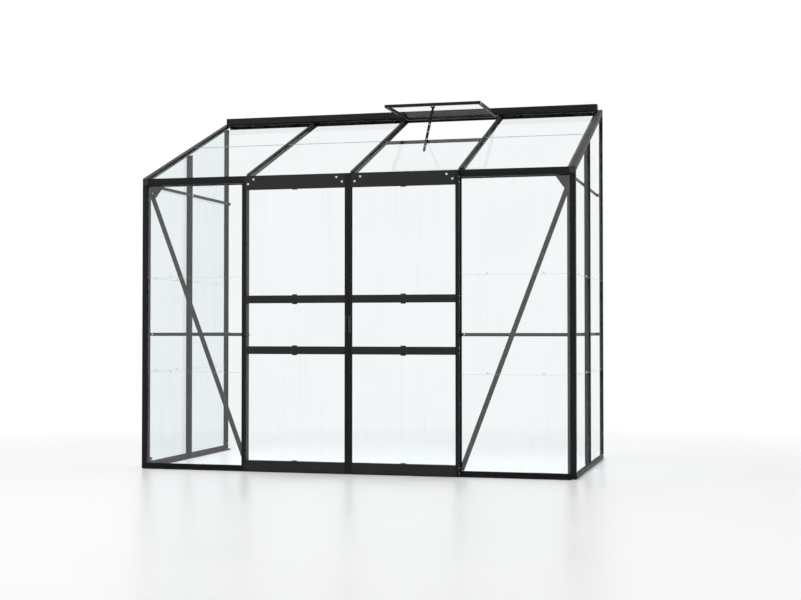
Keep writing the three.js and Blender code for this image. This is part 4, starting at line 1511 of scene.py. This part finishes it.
# ---------------------------------------------------------------- vent
@dataclass
class RoofVent:
    """The vent's corner screws and seal, and the heads of the stay's pin."""

    joint: dict
    plane: RoofPlane
    open_angle: float = math.radians(21.2)
    screw_places: tuple[float, float] = (17 * MM, 556 * MM)
    screw_inset: float = 8 * MM
    screw_lift: float = 1 * MM
    seal_inset: float = 16 * MM
    seal_ends: tuple[float, float] = (25 * MM, 549 * MM)
    seal_faces: tuple[float, float] = (-6.4 * MM, -9.6 * MM)
    bead: float = 1.8 * MM
    bead_edge: float = 0.4
    pin_place: float = 538 * MM
    pin_drop: float = 22 * MM
    pin_half: float = 12 * MM

    def build(self) -> None:
        """Makes the vent's and the stay's small pieces."""
        self.corner_screws()
        self.seal()
        self.stay_pin()

    @property
    def hinge(self) -> Vector:
        """A point on the hinge line."""
        return Vector(self.joint["pos_m"])

    @property
    def turn(self) -> Matrix:
        """The turn from the roof's slope to the open vent."""
        return Matrix.Rotation(-self.open_angle, 3, "X")

    @property
    def down(self) -> Vector:
        """The way from the hinge line to the vent's free edge."""
        return self.turn @ -self.plane.uphill

    @property
    def out(self) -> Vector:
        """The way out of the vent."""
        return self.turn @ self.plane.outward

    def spot(self, x: float, along: float, height: float) -> Vector:
        """A point on the vent, from its place across it, down from the hinge line and out of it."""
        return Vector((x, self.hinge.y, self.hinge.z)) + self.down * along + self.out * height

    def corner_screws(self) -> None:
        """Makes two screws in each corner of the vent, on the faces of its side rails."""
        shape = Shape("vent_screws")
        vent = Box.of("vent_frame")
        for x, way in ((vent.low.x, -1), (vent.high.x, 1)):
            for along in self.screw_places:
                FRAME_BOLT.dome(shape, self.spot(x, along, -self.screw_inset), X_AXIS * way)
        for x in (vent.low.x + self.screw_inset, vent.high.x - self.screw_inset):
            for along in self.screw_places:
                SMALL_SCREW.dome(shape, self.spot(x, along, self.screw_lift), self.out)
        shape.place(ZINC, Body.VENT, Slot.FRAME)

    def seal(self) -> None:
        """Makes the rubber bead round the vent's glass, on both of its faces."""
        shape = Shape("vent_seal")
        vent, (near, far) = Box.of("vent_frame"), self.seal_ends
        left, right = vent.low.x + self.seal_inset, vent.high.x - self.seal_inset
        for lift, way in zip(self.seal_faces, (1, -1)):
            root, edge = lift + way * self.bead, lift + way * self.bead * self.bead_edge
            for x, turn in ((left, 1), (right, -1)):
                end = x + turn * self.bead
                section = [self.spot(x, near, lift), self.spot(end, near, lift),
                           self.spot(end, near, edge), self.spot(x, near, root)]
                shape.prism(section, self.down * (far - near))
            for along, turn in ((near, 1), (far, -1)):
                end = along + turn * self.bead
                section = [self.spot(left, along, lift), self.spot(left, end, lift),
                           self.spot(left, end, edge), self.spot(left, along, root)]
                shape.prism(section, X_AXIS * (right - left))
        shape.place(SEAL_RUBBER, Body.VENT, Slot.FRAME)

    def stay_pin(self) -> None:
        """Makes the heads of the stay's pin."""
        shape = Shape("stay_pin_heads")
        pin = self.spot(self.hinge.x, self.pin_place, -self.pin_drop)
        for way in (-1, 1):
            SMALL_SCREW.dome(shape, pin + X_AXIS * way * self.pin_half, X_AXIS * way)
        shape.place(ZINC, Body.VENT, Slot.FRAME)


# ---------------------------------------------------------------- studio
@dataclass(frozen=True)
class SoftLamp:
    """A square lamp that points at the greenhouse, and whether gloss shows it."""

    name: str
    place: Vector
    power: float
    mirrored: bool = True
    size: float = 4.0
    target: Vector = Vector((0.0, 0.0, 1.0)).freeze()

    def hang(self) -> None:
        """Adds the lamp to the scene."""
        data = bpy.data.lights.new(self.name, "AREA")
        data.size = self.size
        data.energy = self.power
        lamp = bpy.data.objects.new(self.name, data)
        bpy.context.scene.collection.objects.link(lamp)
        lamp.location = self.place
        lamp.rotation_euler = (self.target - self.place).to_track_quat("-Z", "Y").to_euler()
        lamp.visible_glossy = self.mirrored


LAMPS = (
    SoftLamp("key", Vector((-3.5, -6.0, 5.5)), 190.0),
    SoftLamp("fill", Vector((5.5, -5.0, 4.0)), 90.0),
    SoftLamp("overhead", Vector((0.0, -0.6, 7.0)), 120.0, mirrored=False),
)


@dataclass
class Studio:
    """A pale floor, soft lamps, a white surround and the camera."""

    floor_half: float = 60.0
    floor_drop: float = 0.5 * MM
    floor_colour: Colour = (0.835, 0.835, 0.84)
    fade_centre: Vector = field(default_factory=lambda: Vector((0.6, -2.2, 0.0)))
    floor_near: float = 2.7
    floor_far: float = 5.6
    surround: float = 0.62
    camera_place: Vector = field(default_factory=lambda: Vector((2.3008, -8.2474, 0.814)))
    camera_turn: tuple[float, float, float] = (math.radians(91.231), 0.0, math.radians(14.735))
    lens: float = 62.87
    sensor: float = 36.0

    def build(self) -> None:
        """Makes the floor, the lamps, the world and the camera."""
        self.floor()
        self.world()
        for lamp in LAMPS:
            lamp.hang()
        self.camera()

    def floor(self) -> None:
        """Makes the floor, faintly uneven in its gloss, which turns into the white surround far out."""
        mesh = bmesh.new()
        bmesh.ops.create_grid(mesh, x_segments=1, y_segments=1, size=self.floor_half)
        bmesh.ops.translate(mesh, vec=Z_AXIS * -self.floor_drop, verts=mesh.verts)
        data = bpy.data.meshes.new("studio_floor")
        mesh.to_mesh(data)
        mesh.free()
        floor = bpy.data.objects.new("studio_floor", data)
        bpy.context.scene.collection.objects.link(floor)
        material, shader, surface, output = start_material("studio floor")
        surface.inputs["Base Color"].default_value = (*self.floor_colour, 1.0)
        gloss = shader.remap(shader.noise(1.5, 2.0, shader.coordinates()), 0.3, 0.7, 0.28, 0.36)
        shader.feed(gloss, surface.inputs["Roughness"])
        reach = shader.add("ShaderNodeVectorMath", operation="DISTANCE")
        shader.feed(shader.coordinates(), reach.inputs[0])
        shader.feed(self.fade_centre, reach.inputs[1])
        far = shader.remap(reach.outputs["Value"], self.floor_near, self.floor_far, 0.0, 1.0)
        white = shader.add("ShaderNodeEmission")
        blend = shader.add("ShaderNodeMixShader")
        shader.feed(shader.math("MULTIPLY", far, self.seen(shader)), blend.inputs[0])
        shader.feed(surface.outputs[0], blend.inputs[1])
        shader.feed(white.outputs[0], blend.inputs[2])
        shader.feed(blend.outputs[0], output.inputs["Surface"])
        data.materials.append(material)

    @staticmethod
    def seen(shader: ShaderTree) -> bpy.types.NodeSocket:
        """1 for rays that show the surround straight, in gloss or through glass, and 0 for light."""
        path = shader.add("ShaderNodeLightPath")
        seen = shader.math("MAXIMUM", path.outputs["Is Camera Ray"], path.outputs["Is Glossy Ray"])
        return shader.math("MAXIMUM", seen, path.outputs["Is Transmission Ray"])

    def world(self) -> None:
        """Makes the surround: white where it is seen, also in gloss and through glass, softer as light."""
        world = bpy.data.worlds.new("surround")
        bpy.context.scene.world = world
        world.use_nodes = True
        shader = ShaderTree(world.node_tree)
        background = shader.add("ShaderNodeBackground")
        background.inputs["Color"].default_value = (1.0, 1.0, 1.0, 1.0)
        strength = shader.remap(self.seen(shader), 0.0, 1.0, self.surround, 1.0)
        shader.feed(strength, background.inputs["Strength"])
        output = shader.add("ShaderNodeOutputWorld")
        shader.feed(background.outputs[0], output.inputs["Surface"])

    def camera(self) -> None:
        """Makes the camera."""
        data = bpy.data.cameras.new("camera")
        data.lens = self.lens
        data.sensor_width = self.sensor
        camera = bpy.data.objects.new("camera", data)
        bpy.context.scene.collection.objects.link(camera)
        camera.location = self.camera_place
        camera.rotation_euler = self.camera_turn
        bpy.context.scene.camera = camera


def corners(bounds: tuple[Vector, Vector]) -> list[list[float]]:
    """Two corners as plain lists of numbers."""
    return [list(corner) for corner in bounds]


def main() -> None:
    """Builds the greenhouse's looks round the frame, piece by piece."""
    logging.basicConfig(level=logging.INFO, format="%(name)s: %(message)s")
    for old in list(bpy.data.objects):
        bpy.data.objects.remove(old)
    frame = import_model()
    plane = RoofPlane(frame["nodes"]["left_gable_rafter"])
    joints = {joint["name"]: joint for joint in frame["joints"]}
    FrameMembers(frame["nodes"]).dress()
    FrameBolts(plane).build()
    FootingsAndFixings().build()
    Glazing(plane).build()
    GutterAndRidge(plane).build()
    for side in Side:
        SlidingDoor(side).build()
    RoofVent(joints["vent_hinge"], plane).build()
    Studio().build()
    bpy.context.scene.view_settings.view_transform = "Standard"


if __name__ == "__main__":
    main()
